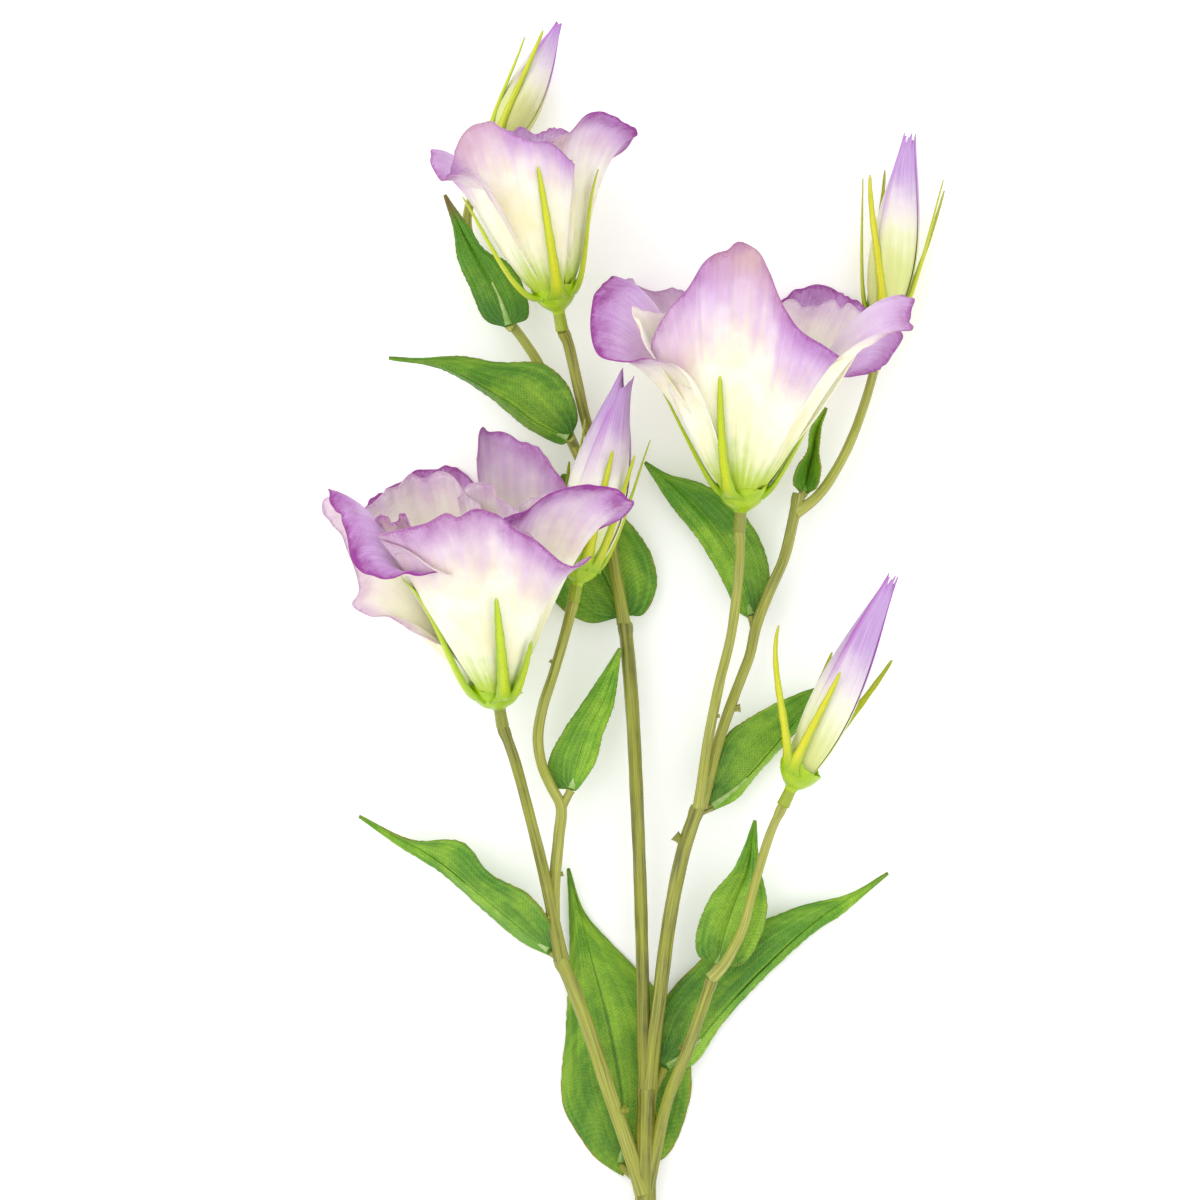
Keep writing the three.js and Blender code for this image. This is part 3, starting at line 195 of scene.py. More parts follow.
def sheet(net, place, *materials, seed=0.0, look=(0, 0, 0, 0)):
    """A grid, shaped by place(u, v), with u from 0 to 1 across it and v from 0 to 1 along it.

    It carries what its material reads: the distances across and along it with a seed, and its look."""
    columns, rows = net
    bpy.ops.object.select_all(action="DESELECT")
    bpy.ops.mesh.primitive_grid_add(x_subdivisions=columns, y_subdivisions=rows, size=1, calc_uvs=True)
    mesh = bpy.context.object.data
    corners = np.empty(len(mesh.vertices) * 3)
    mesh.vertices.foreach_get("co", corners)
    u, v = corners.reshape(-1, 3)[:, :2].T + 0.5
    column, row = np.rint(u * columns).astype(int), np.rint(v * rows).astype(int)
    places = place(column / columns, row / rows)
    mesh.vertices.foreach_set("co", (places * MM).ravel())
    laid_out = np.zeros((rows + 1, columns + 1, 3))
    laid_out[row, column] = places
    across, along = np.zeros((2, rows + 1, columns + 1))
    across[:, 1:] = np.cumsum(np.linalg.norm(np.diff(laid_out, axis=1), axis=2), axis=1)
    along[1:] = np.cumsum(np.linalg.norm(np.diff(laid_out, axis=0), axis=2), axis=0)
    across -= across[:, [columns // 2]]
    cloth = np.stack([across[row, column], along[row, column], np.full(len(row), seed)], -1)
    mesh.attributes.new("cloth", "FLOAT_VECTOR", "POINT").data.foreach_set("vector", cloth.ravel())
    look = np.stack(look(u, v), -1) if callable(look) else np.tile(look, (len(row), 1))
    mesh.attributes.new("look", "FLOAT_COLOR", "POINT").data.foreach_set("color", look.ravel().astype(float))
    for material in materials:
        mesh.materials.append(material)
    bpy.ops.object.shade_smooth()
    return bpy.context.object


def close_up(piece):
    """Merges a rolled sheet's edges where they meet, and its poles, and turns its faces outward."""
    bpy.ops.object.mode_set(mode="EDIT")
    bpy.ops.mesh.select_all(action="SELECT")
    bpy.ops.mesh.remove_doubles(threshold=0.003 * MM)
    bpy.ops.mesh.normals_make_consistent(inside=False)
    bpy.ops.object.mode_set(mode="OBJECT")
    bpy.ops.object.shade_smooth_by_angle(angle=math.radians(50))
    return piece


def capped(v, rows):
    """The share of a tube's length at each of its rings, and whether the ring is open or drawn to a point."""
    share = np.clip((v * rows - 1) / (rows - 2), 0, 1)
    return share, (v > 0.5 / rows) & (v < 1 - 0.5 / rows)


def tube(curve, radius, net, *materials, seed=0.0, look=(0, 0, 0, 0)):
    """A closed tube rolled from a sheet along a curve. radius(share, angle) is its half width, with the
    angle 0 at its top. No part of it reaches below the surface that the spray lies on."""

    def place(u, v):
        share, is_open = capped(v, net[1])
        angle = 2 * math.pi * u + math.pi
        ahead = heading_of(curve, share)
        side = unit(np.cross(ahead, UP))
        top = np.cross(side, ahead)
        spoke = side * np.sin(angle)[:, None] + top * np.cos(angle)[:, None]
        points = curve(share) + spoke * (radius(share, angle) * is_open)[:, None]
        points[:, 2] = np.maximum(points[:, 2], 0.02)
        return points

    return close_up(sheet(net, place, *materials, seed=seed, look=look))


def join(name, pieces):
    """Joins pieces into one, with a name of its own."""
    bpy.ops.object.select_all(action="DESELECT")
    for piece in pieces:
        piece.select_set(True)
    bpy.context.view_layer.objects.active = pieces[0]
    bpy.ops.object.join()
    whole = bpy.context.object
    whole.name = whole.data.name = name
    return whole


def put_on(piece, node):
    """Has a piece stand for its CAD node, which it hides, and hangs the piece from the root body."""
    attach(piece, "root")
    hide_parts(node)


def colour(code):
    """A colour from its usual six-figure code, as the linear values that a shader takes."""
    shares = [int(code[i:i + 2], 16) / 255 for i in (1, 3, 5)]
    return tuple(s / 12.92 if s <= 0.04045 else ((s + 0.055) / 1.055) ** 2.4 for s in shares) + (1.0,)


class Tone:
    """A node's output in a material, with the sums and products that make further ones of it."""

    def __init__(self, socket):
        self.socket = socket
        self.tree = socket.id_data

    def maths(self, operation, *others):
        return add(self.tree, "Math", self, *others, operation=operation)

    def __add__(self, other):
        return self.maths("ADD", other)

    def __sub__(self, other):
        return self.maths("SUBTRACT", other)

    def __mul__(self, other):
        return self.maths("MULTIPLY", other)

    def __truediv__(self, other):
        return self.maths("DIVIDE", other)

    def __abs__(self):
        return self.maths("ABSOLUTE")


def add(tree, kind, *inputs, out=0, **settings):
    """Adds a node, fills its inputs in order with values, colours or tones, and gives one output back."""
    node = tree.nodes.new("ShaderNode" + kind)
    for name, value in settings.items():
        setattr(node, name, value)
    for socket, value in zip(node.inputs, inputs):
        if isinstance(value, Tone):
            tree.links.new(value.socket, socket)
        elif value is not None:
            socket.default_value = colour(value) if isinstance(value, str) else value
    return Tone(node.outputs[out])


def outputs_of(tone):
    """All the outputs of the node that a tone comes from."""
    return [Tone(socket) for socket in tone.socket.node.outputs]


def step(value, low, high):
    """0 below low, 1 above high and smooth between them."""
    return add(value.tree, "MapRange", value, low, high, 0.0, 1.0, interpolation_type="SMOOTHSTEP")


def between(value, low, high, first=0.0, last=1.0):
    """low where a value is first, high where it is last, and even between them."""
    return add(value.tree, "MapRange", value, first, last, low, high)


def noise(place, scale, detail, roughness):
    return add(place.tree, "TexNoise", place, None, scale, detail, roughness)


def blend(share, first, second):
    """One colour laid over another in a share of 0 to 1."""
    tree = next(part.tree for part in (share, first, second) if isinstance(part, Tone))
    return add(tree, "MixRGB", share, first, second)


def shaded(base, amount):
    """A colour made lighter or darker by an amount of about 1."""
    return add(base.tree, "MixRGB", 1.0, base, amount, blend_type="MULTIPLY")


def effect(name, inputs, outputs):
    """A new shader node group, which several materials place, with its inputs as tones and its outputs."""
    group = bpy.data.node_groups.new(name, "ShaderNodeTree")
    for label, kind, value in inputs:
        socket = group.interface.new_socket(label, in_out="INPUT", socket_type="NodeSocket" + kind)
        if value is not None:
            socket.default_value = value
    for label in outputs:
        group.interface.new_socket(label, in_out="OUTPUT", socket_type="NodeSocketFloat")
    given = [Tone(socket) for socket in group.nodes.new("NodeGroupInput").outputs[:len(inputs)]]
    return group, given, group.nodes.new("NodeGroupOutput").inputs


def place_effect(group, *inputs):
    """Places a shader node group in its inputs' material and gives its outputs back."""
    return outputs_of(add(inputs[0].tree, "Group", *inputs, node_tree=group))


def new_material(name):
    material = bpy.data.materials.new(name)
    material.use_nodes = True
    return material


def read_uv(material):
    """How far across and along its piece a point lies, each from 0 to 1."""
    tree = material.node_tree
    return outputs_of(add(tree, "SeparateXYZ", add(tree, "UVMap")))[:2]


def read_spot(material):
    """How far across and along its piece a point lies in millimetres, and the piece's seed."""
    return add(material.node_tree, "Attribute", out=1, attribute_name="cloth")


def read_look(material, count):
    """The first values of a piece's look."""
    kept = add(material.node_tree, "Attribute", attribute_name="look")
    return (outputs_of(add(material.node_tree, "SeparateColor", kept)) + outputs_of(kept)[3:])[:count]


def finish_material(material, base, dullness=None, height=None, depth=0.1, **constants):
    """Feeds a material's shader with its colour, roughness and height, and sets constants on its sockets."""
    tree = material.node_tree
    shader = tree.nodes["Principled BSDF"]
    tree.links.new(base.socket, shader.inputs["Base Color"])
    if dullness is not None:
        tree.links.new(dullness.socket, shader.inputs["Roughness"])
    if height is not None:
        bump = tree.nodes.new("ShaderNodeBump")
        bump.inputs["Strength"].default_value = 1.0
        bump.inputs["Distance"].default_value = depth * MM
        tree.links.new(height.socket, bump.inputs["Height"])
        tree.links.new(bump.outputs[0], shader.inputs["Normal"])
    for label, value in constants.items():
        shader.inputs[label.replace("_", " ").title().replace("Ior", "IOR")].default_value = value
    return material


# Streaks run along a piece and fade in and out, as the grooves of a mould or the pulled threads of cloth do.
streaks, (across, spot, count), results = effect(
    "lengthwise streaks",
    [("Across", "Float", 0.0), ("Place", "Vector", None), ("Count", "Float", 10.0)],
    ["Broad", "Fine"],
)
along, seed = outputs_of(add(streaks, "SeparateXYZ", spot))[1:]
for label, scale, stretch in (("Broad", 1.0, 0.02), ("Fine", 4.0, 0.06)):
    drawn = add(streaks, "CombineXYZ", across * (count * scale), along * stretch, seed)
    streaks.links.new(step(noise(drawn, 1.0, 2.0, 0.5), 0.3, 0.7).socket, results[label])

# Mottling is the uneven take of colour, in broad patches and fine flecks.
mottle, (spot, size), results = effect(
    "mottling",
    [("Place", "Vector", None), ("Size", "Float", 8.0)],
    ["Broad", "Fine"],
)
scaled = add(mottle, "VectorMath", spot, None, None, size.maths("POWER", -1.0), operation="SCALE")
for label, scale, detail, roughness in (("Broad", 1.0, 3.0, 0.55), ("Fine", 7.0, 2.0, 0.6)):
    mottle.links.new(step(noise(scaled, scale, detail, roughness), 0.3, 0.7).socket, results[label])


def stem_plastic():
    """Olive plastic with painted shade in its lengthwise mould grooves, painted highlights on its ridges and
    greener patches.
    """
    material = new_material("olive stem plastic")
    spot = read_spot(material)
    (pale,) = read_look(material, 1)
    broad, fine = place_effect(streaks, read_uv(material)[0], spot, 7.0)
    patch, fleck = place_effect(mottle, spot, 9.0)
    # painted shade: darker where the broad streaks sink into grooves
    base = blend(step(broad, 0.0, 0.9), OLIVE_GROOVE_SHADE, OLIVE)
    # painted highlight on the ridges of the fine streaks, and the paler plastic of some stems
    base = blend(fine * 0.6 + pale, base, OLIVE_PALE_AND_HIGHLIGHT)
    base = blend(patch * 0.45, base, OLIVE_FRESH)
    return finish_material(material, base, between(fleck, 0.3, 0.46), broad * 0.7 + fine * 0.3, depth=0.45)


olive_plastic = stem_plastic()

for seed, (name, stem) in enumerate(STEMS.items()):
    route = [np.array(place, float) for place in stem["route"]]
    if "forks_from" in stem:
        route[0] = route[0] - SOCKET_DEPTH * unit(route[1] - route[0])
    if "carries" in stem:
        base, axis = HEADS[stem["carries"]]
        route.append(np.array(base) - NECK_LENGTH * unit(np.array(axis)))
    curve = through(route)
    forks = "forks_from" in stem
    look = (stem["pale"], 0, 0, 0)

    def radius(share, angle):
        """A stem's half width: thicker where it forks off and at its socket, and grooved by its mould."""
        travelled = share * curve.length
        left = curve.length - travelled
        width = stem["radius"][0] + (stem["radius"][1] - stem["radius"][0]) * share
        width += SOCKET_SWELL * np.clip(1 - left / SOCKET_LENGTH, 0, 1) ** 0.5
        width += 0.45 * forks * np.exp(-travelled / 4)
        grooves = 0.06 * np.cos(3 * angle + 4 * share + seed) + 0.05 * np.cos(7 * angle - 3 * share + seed)
        uneven = 1 + 0.02 * np.sin(travelled / 5 + seed) + 0.015 * np.sin(travelled / 1.9 + 2 * seed)
        return width * (1 + grooves) * uneven * (1 - 0.12 * np.exp(-left / 0.35))

    net = (STEM_SIDES, int(curve.length / STEM_STEP))
    parts = [tube(curve, radius, net, olive_plastic, seed=seed, look=look)]
    for share, azimuth, size in stem.get("nubs", []):
        centre = curve(np.array([share]))[0]
        ahead = heading_of(curve, np.array([share]))[0]
        side = unit(np.cross(ahead, UP))
        top = np.cross(side, ahead)
        out = top * math.cos(math.radians(azimuth)) - side * math.sin(math.radians(azimuth))
        end = centre + out * (radius(share, 0.0) + size) + ahead * size
        spike = through([centre, (centre + end) / 2, end])
        blunt = lambda share, angle: size * (0.75 - 0.2 * share + 0.45 * share**4)
        parts.append(tube(spike, blunt, NUB_NET, olive_plastic, seed=seed + 3, look=look))
    for grown_from, root, end in STUBS.values():
        if grown_from == name:
            stub = through([root, (np.array(root) + end) / 2, end])
            flared = lambda share, angle: STUB_RADIUS * (1 + 0.25 * (1 - share) ** 3 + 0.08 * share**6)
            parts.append(tube(stub, flared, STUB_NET, olive_plastic, seed=seed + 5, look=look))
    put_on(join(name + "_moulding", parts), name)

# ----------------------------------------------------------------------
# Leaves: eleven blades of green woven cloth, printed and pressed to their creases. Each is glued along a pale
# green plastic clip, which plugs onto a stub of its stem.
LEAF_NET = (36, 72)  # faces across a blade and along it
CLIP_NET = (14, 24)
LEAF_THICKNESS = 0.45
LEAF_ROOT_WIDTH = 2.4
LEAF_TIP_WIDTH = 0.9
LEAF_BULGE = 0.5  # how far each half of a blade bows out
FLOOR_SOFTNESS = 3  # how gradually a blade that meets the surface bends to lie along it
CLIP_LENGTH = 13
LEAF_GREEN = "#5b9b10"
LEAF_LIGHT = "#98c62e"
# The darkest green is painted shade, on the folded halves and in the midrib's crease.
LEAF_SHADE = "#2b630a"
LEAF_EDGE = "#9c8f2c"
LEAF_TIP = "#7d6a34"
CLIP_GREEN = "#7fa83e"
CLIP_CLOUDY = "#b9cc8c"

# Each leaf's midrib and its two edges, how light its cloth is, how much painted shade each half has at its
# root, and whether its clip lies over the blade (1) or under it (-1).
LEAVES = {
    "basal_leaf": dict(
        rib=[(-3.6, -92.9, -3.4), (-7.6, -70.5, -3.6), (-12.3, -52.3, -1.4), (-18.7, -27.1, 2.6)],
        left=[(-1.9, -113.4, 0.8), (-9.9, -108.8, 0), (-14.2, -103.8, -1.4), (-20.2, -92.6, -3),
              (-19.3, -71.1, -3), (-18.2, -47.2, 0.6)],
        right=[(7.6, -108.3, -0.6), (14.8, -93.5, -3), (15.4, -80.9, -3), (10.4, -66.3, -3),
               (0.6, -55.6, -2), (-7.3, -47.5, -0.5), (-14.6, -38.8, 1.2)],
        light=0.6, shade_left=0.5, shade_right=0.3, clip=-1,
    ),
    "lower_left_leaf": dict(
        rib=[(-32.6, -43, 9), (-43.8, -33.9, 7), (-56.7, -23.8, 6), (-77, -12.4, 7)],
        left=[(-31.6, -47.1, 4), (-43.4, -37.7, 1.6), (-54.6, -27.9, 2), (-65.7, -20.8, 5)],
        right=[(-24.3, -41.6, 14), (-30.1, -33.9, 12.4), (-40.4, -28.2, 10), (-48.2, -19.5, 9.4),
               (-62.5, -19, 8.4)],
        light=0.45, shade_left=0.15, shade_right=0.6, clip=-1,
    ),
    "left_bud_leaf": dict(
        rib=[(-15.9, 3.4, 13), (-12.6, 12.8, 13), (-8.7, 20.1, 13.2), (-4.2, 34.5, 13)],
        left=[(-22, -4.2, 11), (-24, 2.2, 10.6), (-20.1, 11.1, 11), (-14, 20.1, 11.4)],
        right=[(-17, -4.4, 12.4), (-11.5, 2.5, 11), (-9.2, 10.3, 10.8), (-6.2, 18.6, 10.6)],
        light=0.5, shade_left=0.45, shade_right=0.15, clip=-1,
    ),
    "round_leaf": dict(
        rib=[(-8.1, 53.5, 4.2), (-12.6, 62.4, 3.4), (-17.1, 73, 3.6), (-20.1, 83.1, 5)],
        left=[(-12.6, 41.7, 5), (-22.1, 47.3, 4), (-24.9, 59.1, 3.6), (-24.9, 71.6, 4)],
        right=[(1.4, 43.4, 5.4), (5.8, 51.2, 4.4), (4.5, 60.5, 3.6), (-2.8, 70.8, 3.8),
               (-12.6, 78.6, 4.4)],
        light=0.45, shade_left=0.35, shade_right=0.45, clip=-1,
    ),
    "spear_leaf": dict(
        rib=[(-27, 96.8, 14.5), (-35.3, 102.8, 16), (-46.4, 109.4, 18), (-56.4, 113.8, 19),
             (-68.3, 115, 19)],
        left=[(-20.4, 92.1, 11), (-29.9, 96.1, 9.4), (-40.4, 104.4, 10), (-54.2, 112.3, 15)],
        right=[(-16.2, 97.9, 15), (-19, 107.5, 17), (-25.6, 113.3, 18.6), (-37.5, 113.8, 20),
               (-49.4, 115.4, 21), (-59.4, 114.6, 20)],
        light=0.35, shade_left=0.2, shade_right=0.6, clip=-1,
    ),
    "dark_leaf": dict(
        rib=[(-38.4, 133.5, 13.2), (-43.2, 141.8, 13.6), (-47.9, 150.1, 14.2), (-52.9, 160.4, 15)],
        left=[(-41.2, 125.8, 12), (-45.7, 134.4, 12.4), (-49.3, 142.7, 13.2), (-50.4, 151.3, 14)],
        right=[(-30.4, 126.3, 12.2), (-31.2, 134.9, 12.4), (-35.7, 141.8, 13.4), (-41.7, 145.1, 14.6),
               (-46.5, 151.8, 15)],
        light=0.05, shade_left=0.75, shade_right=0.6, clip=1,
    ),
    "right_spear_leaf": dict(
        rib=[(15.9, -77.1, 6.4), (23.1, -68.8, 5.4), (34.9, -56.3, 4.4), (50.3, -42.1, 4),
             (70.6, -28.3, 5.6)],
        left=[(6.1, -77.8, 5), (7, -66.7, 3.6), (15.4, -55.5, 3.4), (27.9, -45.7, 3.6),
              (46.1, -37.6, 4.4), (59.5, -34.5, 5)],
        right=[(15.9, -81.3, 3), (24.3, -70.2, 1.4), (36.4, -57.3, 1), (50.9, -44.2, 1.6),
               (56.7, -40.5, 3)],
        light=0.4, shade_left=0.65, shade_right=0.1, clip=1,
    ),
    "low_right_leaf": dict(
        rib=[(24.7, -45.4, 10), (28.1, -35.4, 9.6), (31.1, -27.9, 9.8), (33.3, -13.4, 11)],
        left=[(18, -51, 10.4), (17.2, -44.6, 10.4), (21.1, -34.5, 10.8), (27.8, -26.2, 11)],
        right=[(29.7, -53.2, 10.2), (35.3, -44.6, 10.6), (36.7, -36.2, 11), (34.7, -26.7, 11)],
        light=0.55, shade_left=0.5, shade_right=0.4, clip=-1,
    ),
    "fork_leaf": dict(
        rib=[(28.7, -4, 8.4), (35.4, 2.7, 7), (44.6, 13.8, 6), (53.8, 24.2, 6.4)],
        left=[(19.2, -6.5, 9), (22.3, 1.6, 8), (25.1, 9.7, 7.6), (34.5, 16.7, 7.8), (46, 21.9, 7)],
        right=[(28.2, -7.1, 6), (34.1, -0.5, 3.6), (41.9, 7.9, 3), (49.4, 15.7, 4)],
        light=0.55, shade_left=0.7, shade_right=0, clip=1,
    ),
    "upper_right_leaf": dict(
        rib=[(30.6, 50.7, 8), (26.5, 61, 7), (19.5, 70.8, 6.8), (11.1, 79.4, 7.4), (2.7, 86.3, 8.6)],
        left=[(29.3, 45.1, 7), (22.9, 56.5, 5.4), (17.6, 64.9, 5.4), (9.5, 75.2, 6.6)],
        right=[(35.4, 44.5, 8.4), (37.3, 52.6, 7.4), (35.4, 63.2, 7), (27.9, 74.4, 7.4),
               (18.1, 80.5, 8), (9.2, 82.7, 8.4)],
        light=0.4, shade_left=0.3, shade_right=0.7, clip=-1,
    ),
    "side_leaf": dict(
        rib=[(48.2, 83.6, 8.6), (49.6, 89.4, 8.4), (50.7, 94.7, 8.8), (53.2, 101.4, 9.6)],
        left=[(44.4, 80.1, 13), (45, 84.6, 13), (47.8, 89.1, 12), (48.7, 95.2, 11)],
        right=[(50, 79.3, 13), (51.4, 83.5, 13.4), (51.1, 89, 12.4), (51.7, 95.8, 11)],
        light=0.35, shade_left=0.4, shade_right=0.5, clip=-1,
    ),
}


def settle(places, half_thickness):
    """Bends a blade that meets the surface so that it lies along it, as cloth does."""
    above = places[:, 2] - half_thickness
    eased = np.where(above < -FLOOR_SOFTNESS, 0, (above + FLOOR_SOFTNESS) ** 2 / (4 * FLOOR_SOFTNESS))
    places[:, 2] = half_thickness + np.where(above < FLOOR_SOFTNESS, eased, above)
    return places


def thicken(piece, thickness):
    """Gives a blade its thickness. Its under face takes the piece's second material."""
    wall = piece.modifiers.new("wall", "SOLIDIFY")
    wall.thickness = thickness * MM
    wall.offset = 0
    wall.material_offset = 1
    bpy.ops.object.modifier_apply(modifier=wall.name)
    return piece


# Woven cloth: its threads pass over and under each other, and none is quite as thick as the next.
weave, (spot, thread), results = effect(
    "woven cloth",
    [("Place", "Vector", None), ("Thread", "Float", 0.7)],
    ["Height"],
)
across, along = (way / thread * math.pi for way in outputs_of(add(weave, "SeparateXYZ", spot))[:2])
crossing = across.maths("SINE") * along.maths("SINE")
weave.links.new((crossing * 0.35 + noise(spot, 0.35, 2.0, 0.5) * 0.6).socket, results["Height"])


def leaf_cloth(name, under):
    """Green cloth with painted shade on a folded half near its root and in its pressed midrib's crease, and a
    worn, yellowed edge.
    """
    material = new_material(name)
    spot = read_spot(material)
    u, v = read_uv(material)
    light, shade_left, shade_right, brown = read_look(material, 4)
    broad, fine = place_effect(streaks, u, spot, 12.0)
    patch, fleck = place_effect(mottle, spot, 15.0)
    cloud, grain = place_effect(mottle, spot, 5.0)
    threads = place_effect(weave, spot, 0.5)[0]
    tone = patch * 0.7 + broad * 0.35 + cloud * 0.25 - 0.65 + light
    base = blend(step(tone, 0.05, 0.95), LEAF_GREEN, LEAF_LIGHT)
    # painted shade: each folded half darkened towards its root, by its own amount and in patches
    fold = shade_left + (shade_right - shade_left) * step(u, 0.44, 0.56)
    shade = fold * between(v, 1.1, 0.2, 0.0, 0.85) * between(patch, 1.25, 0.7) + (fine - 0.5) * 0.2
    base = blend(shade.maths("MAXIMUM", 0.0), base, LEAF_SHADE)
    centre = abs(u - 0.5)
    veins = (centre * 62.0).maths("SINE")
    base = blend(step(veins, 0.5, 1.0) * 0.16, base, LEAF_LIGHT)
    # painted shade in the midrib's crease
    base = blend(step(centre, 0.018, 0.004) * 0.55, base, LEAF_SHADE)
    base = blend(step(abs(centre - 0.03), 0.014, 0.002) * 0.3, base, LEAF_LIGHT)
    base = blend(step(centre + fleck * 0.02, 0.488, 0.51) * 0.8, base, LEAF_EDGE)
    tip = v + patch * 0.1 + brown * 0.3
    base = blend(step(tip, 1.08, 1.3) * brown, base, LEAF_TIP)
    if under:
        base = blend(0.4, base, LEAF_LIGHT)
    base = shaded(base, between(threads, 0.82, 1.14, 0.1, 0.8) * between(grain, 0.86, 1.08))
    return finish_material(material, base, between(fleck, 0.5, 0.68), threads, depth=0.16,
                           subsurface_weight=0.05, subsurface_radius=(0.001, 0.002, 0.0005))


def clip_plastic():
    """The clear green plastic of a leaf's clip, cloudy in patches."""
    material = new_material("leaf clip plastic")
    patch, fleck = place_effect(mottle, read_spot(material), 4.0)
    base = blend(patch * 0.7, CLIP_GREEN, CLIP_CLOUDY)
    return finish_material(material, base, between(fleck, 0.22, 0.4), fleck, depth=0.08, coat_weight=0.3,
                           subsurface_weight=0.3, subsurface_radius=(0.002, 0.003, 0.001))


leaf_face, leaf_back = leaf_cloth("leaf cloth", False), leaf_cloth("leaf cloth back", True)
clear_green = clip_plastic()

for seed, (name, leaf) in enumerate(LEAVES.items()):
    start, tip = STUBS[name][2], leaf["rib"][-1]
    rib = through([start] + leaf["rib"])
    edges = [through([start] + leaf[half] + [tip]) for half in ("left", "right")]

    def leaf_place(u, v):
        """A leaf's middle surface, creased along its midrib and waved along its edges."""
        s = 2 * u - 1
        out = np.abs(s)
        middle = rib(v)
        across = unit(np.cross(heading_of(rib, v), UP))
        edge = np.where((s < 0)[:, None], edges[0](v), edges[1](v)) - middle
        half = (LEAF_ROOT_WIDTH * (1 - v) ** 6 + LEAF_TIP_WIDTH * v**6) / 2
        frayed = 0.12 * out**8 * np.sin(v * 170 + 5 * np.sin(v * 31 + seed)) * np.sin(math.pi * v)
        places = middle + edge * out[:, None] + across * ((half + frayed) * s)[:, None]
        places[:, 2] += LEAF_BULGE * np.sin(math.pi * out) * np.sin(math.pi * v)
        places = settle(places, LEAF_THICKNESS / 2)
        body = np.sin(math.pi * v) ** 0.6
        crease = 0.55 * (1 - np.exp(-((s / 0.09) ** 2)))
        folds = 0.16 * (1 - np.cos(2 * math.pi * 3 * out)) * out
        wave = 0.35 * out**3 * (1 + np.sin(2 * math.pi * (3.3 * v + 0.17 * seed + 0.3 * (s > 0))))
        places[:, 2] += body * (crease + folds + wave)
        return places

    look = (leaf["light"], leaf["shade_left"], leaf["shade_right"], 1 if name == "dark_leaf" else 0.5)
    blade = sheet(LEAF_NET, leaf_place, leaf_face, leaf_back, seed=seed, look=look)
    thicken(blade, LEAF_THICKNESS)
    reach = CLIP_LENGTH / rib.length
    shares = np.linspace(0.012, reach, 4)
    spine = leaf_place(np.full(4, 0.5), shares)
    spine[1:, 2] += 0.5 * leaf["clip"]
    spine[:, 2] = np.maximum(spine[:, 2], 0.6)
    slim = lambda share, angle: (1.05 - 0.8 * share**0.6) * (1 + 0.12 * np.cos(2 * angle + math.pi))
    clip = tube(through(spine), slim, CLIP_NET, clear_green, seed=seed)
    put_on(join(name + "_cloth", [blade, clip]), name)

# ----------------------------------------------------------------------
# Corollas: the petals of the three blooms. Each petal is cut from thin cloth, dyed green at its foot and
# lilac at its rim, pressed over a hot form into its curl, and glued round a small foot in the calyx.
PETAL_THICKNESS = 0.32
PETAL_RIM_GRIP = 0.32  # how strongly a petal keeps the lean of its rim; grip is the same at its root
OUTER_NET = (64, 44)  # faces across a petal and along it
INNER_NET = (52, 32)
TURNED_ROWS = 48
FOOT_SIDES = 32
OUTER_ROOT = dict(radius=3.5, height=3.6, lean=60, grip=0.21, spread=42, layer=0.8)
INNER_ROOT = dict(radius=3.2, height=6, lean=50, grip=0.2, spread=40, layer=0.6)
FOOT_PROFILE = [(0.01, 2), (2.0, 2.1), (3.4, 3.3), (4.3, 4.6), (4.2, 6.6), (3.4, 8.3), (0.01, 8.4)]
PETAL_GREEN = "#b6cf34"
PETAL_CREAM = "#fbfaea"
PETAL_WARM = "#f4edb9"
PETAL_LILAC = "#c68ad8"
PETAL_PALE_LILAC = "#e2c8ee"
PETAL_RIM = "#962f92"
PETAL_TAN = "#d6b9a2"


def outer(rim, flare, tint, fade=(0, 0), worn=0.5):
    """One outer petal by places along its rim, from its left to its right seen from outside.

    flare is how far it leans out at the left, the middle and the right of its rim: 0 is along the bloom's
    axis, 90 square to it and more is curled back. tint is where up the petal's outside the lilac starts, how
    full it is, how dark the rim is, and how tanned the rim is round the share in worn. fade is how much of
    the lilac its left and right sides lack."""
    return dict(rim=rim, flare=flare, tint=tint, fade=fade, worn=worn, root=OUTER_ROOT, net=OUTER_NET)


def inner(rim, flare, tint, fade=(0, 0)):
    """One inner petal, which is smaller and stands closer to the throat."""
    return dict(rim=rim, flare=flare, tint=tint, fade=fade, worn=0.5, root=INNER_ROOT, net=INNER_NET)


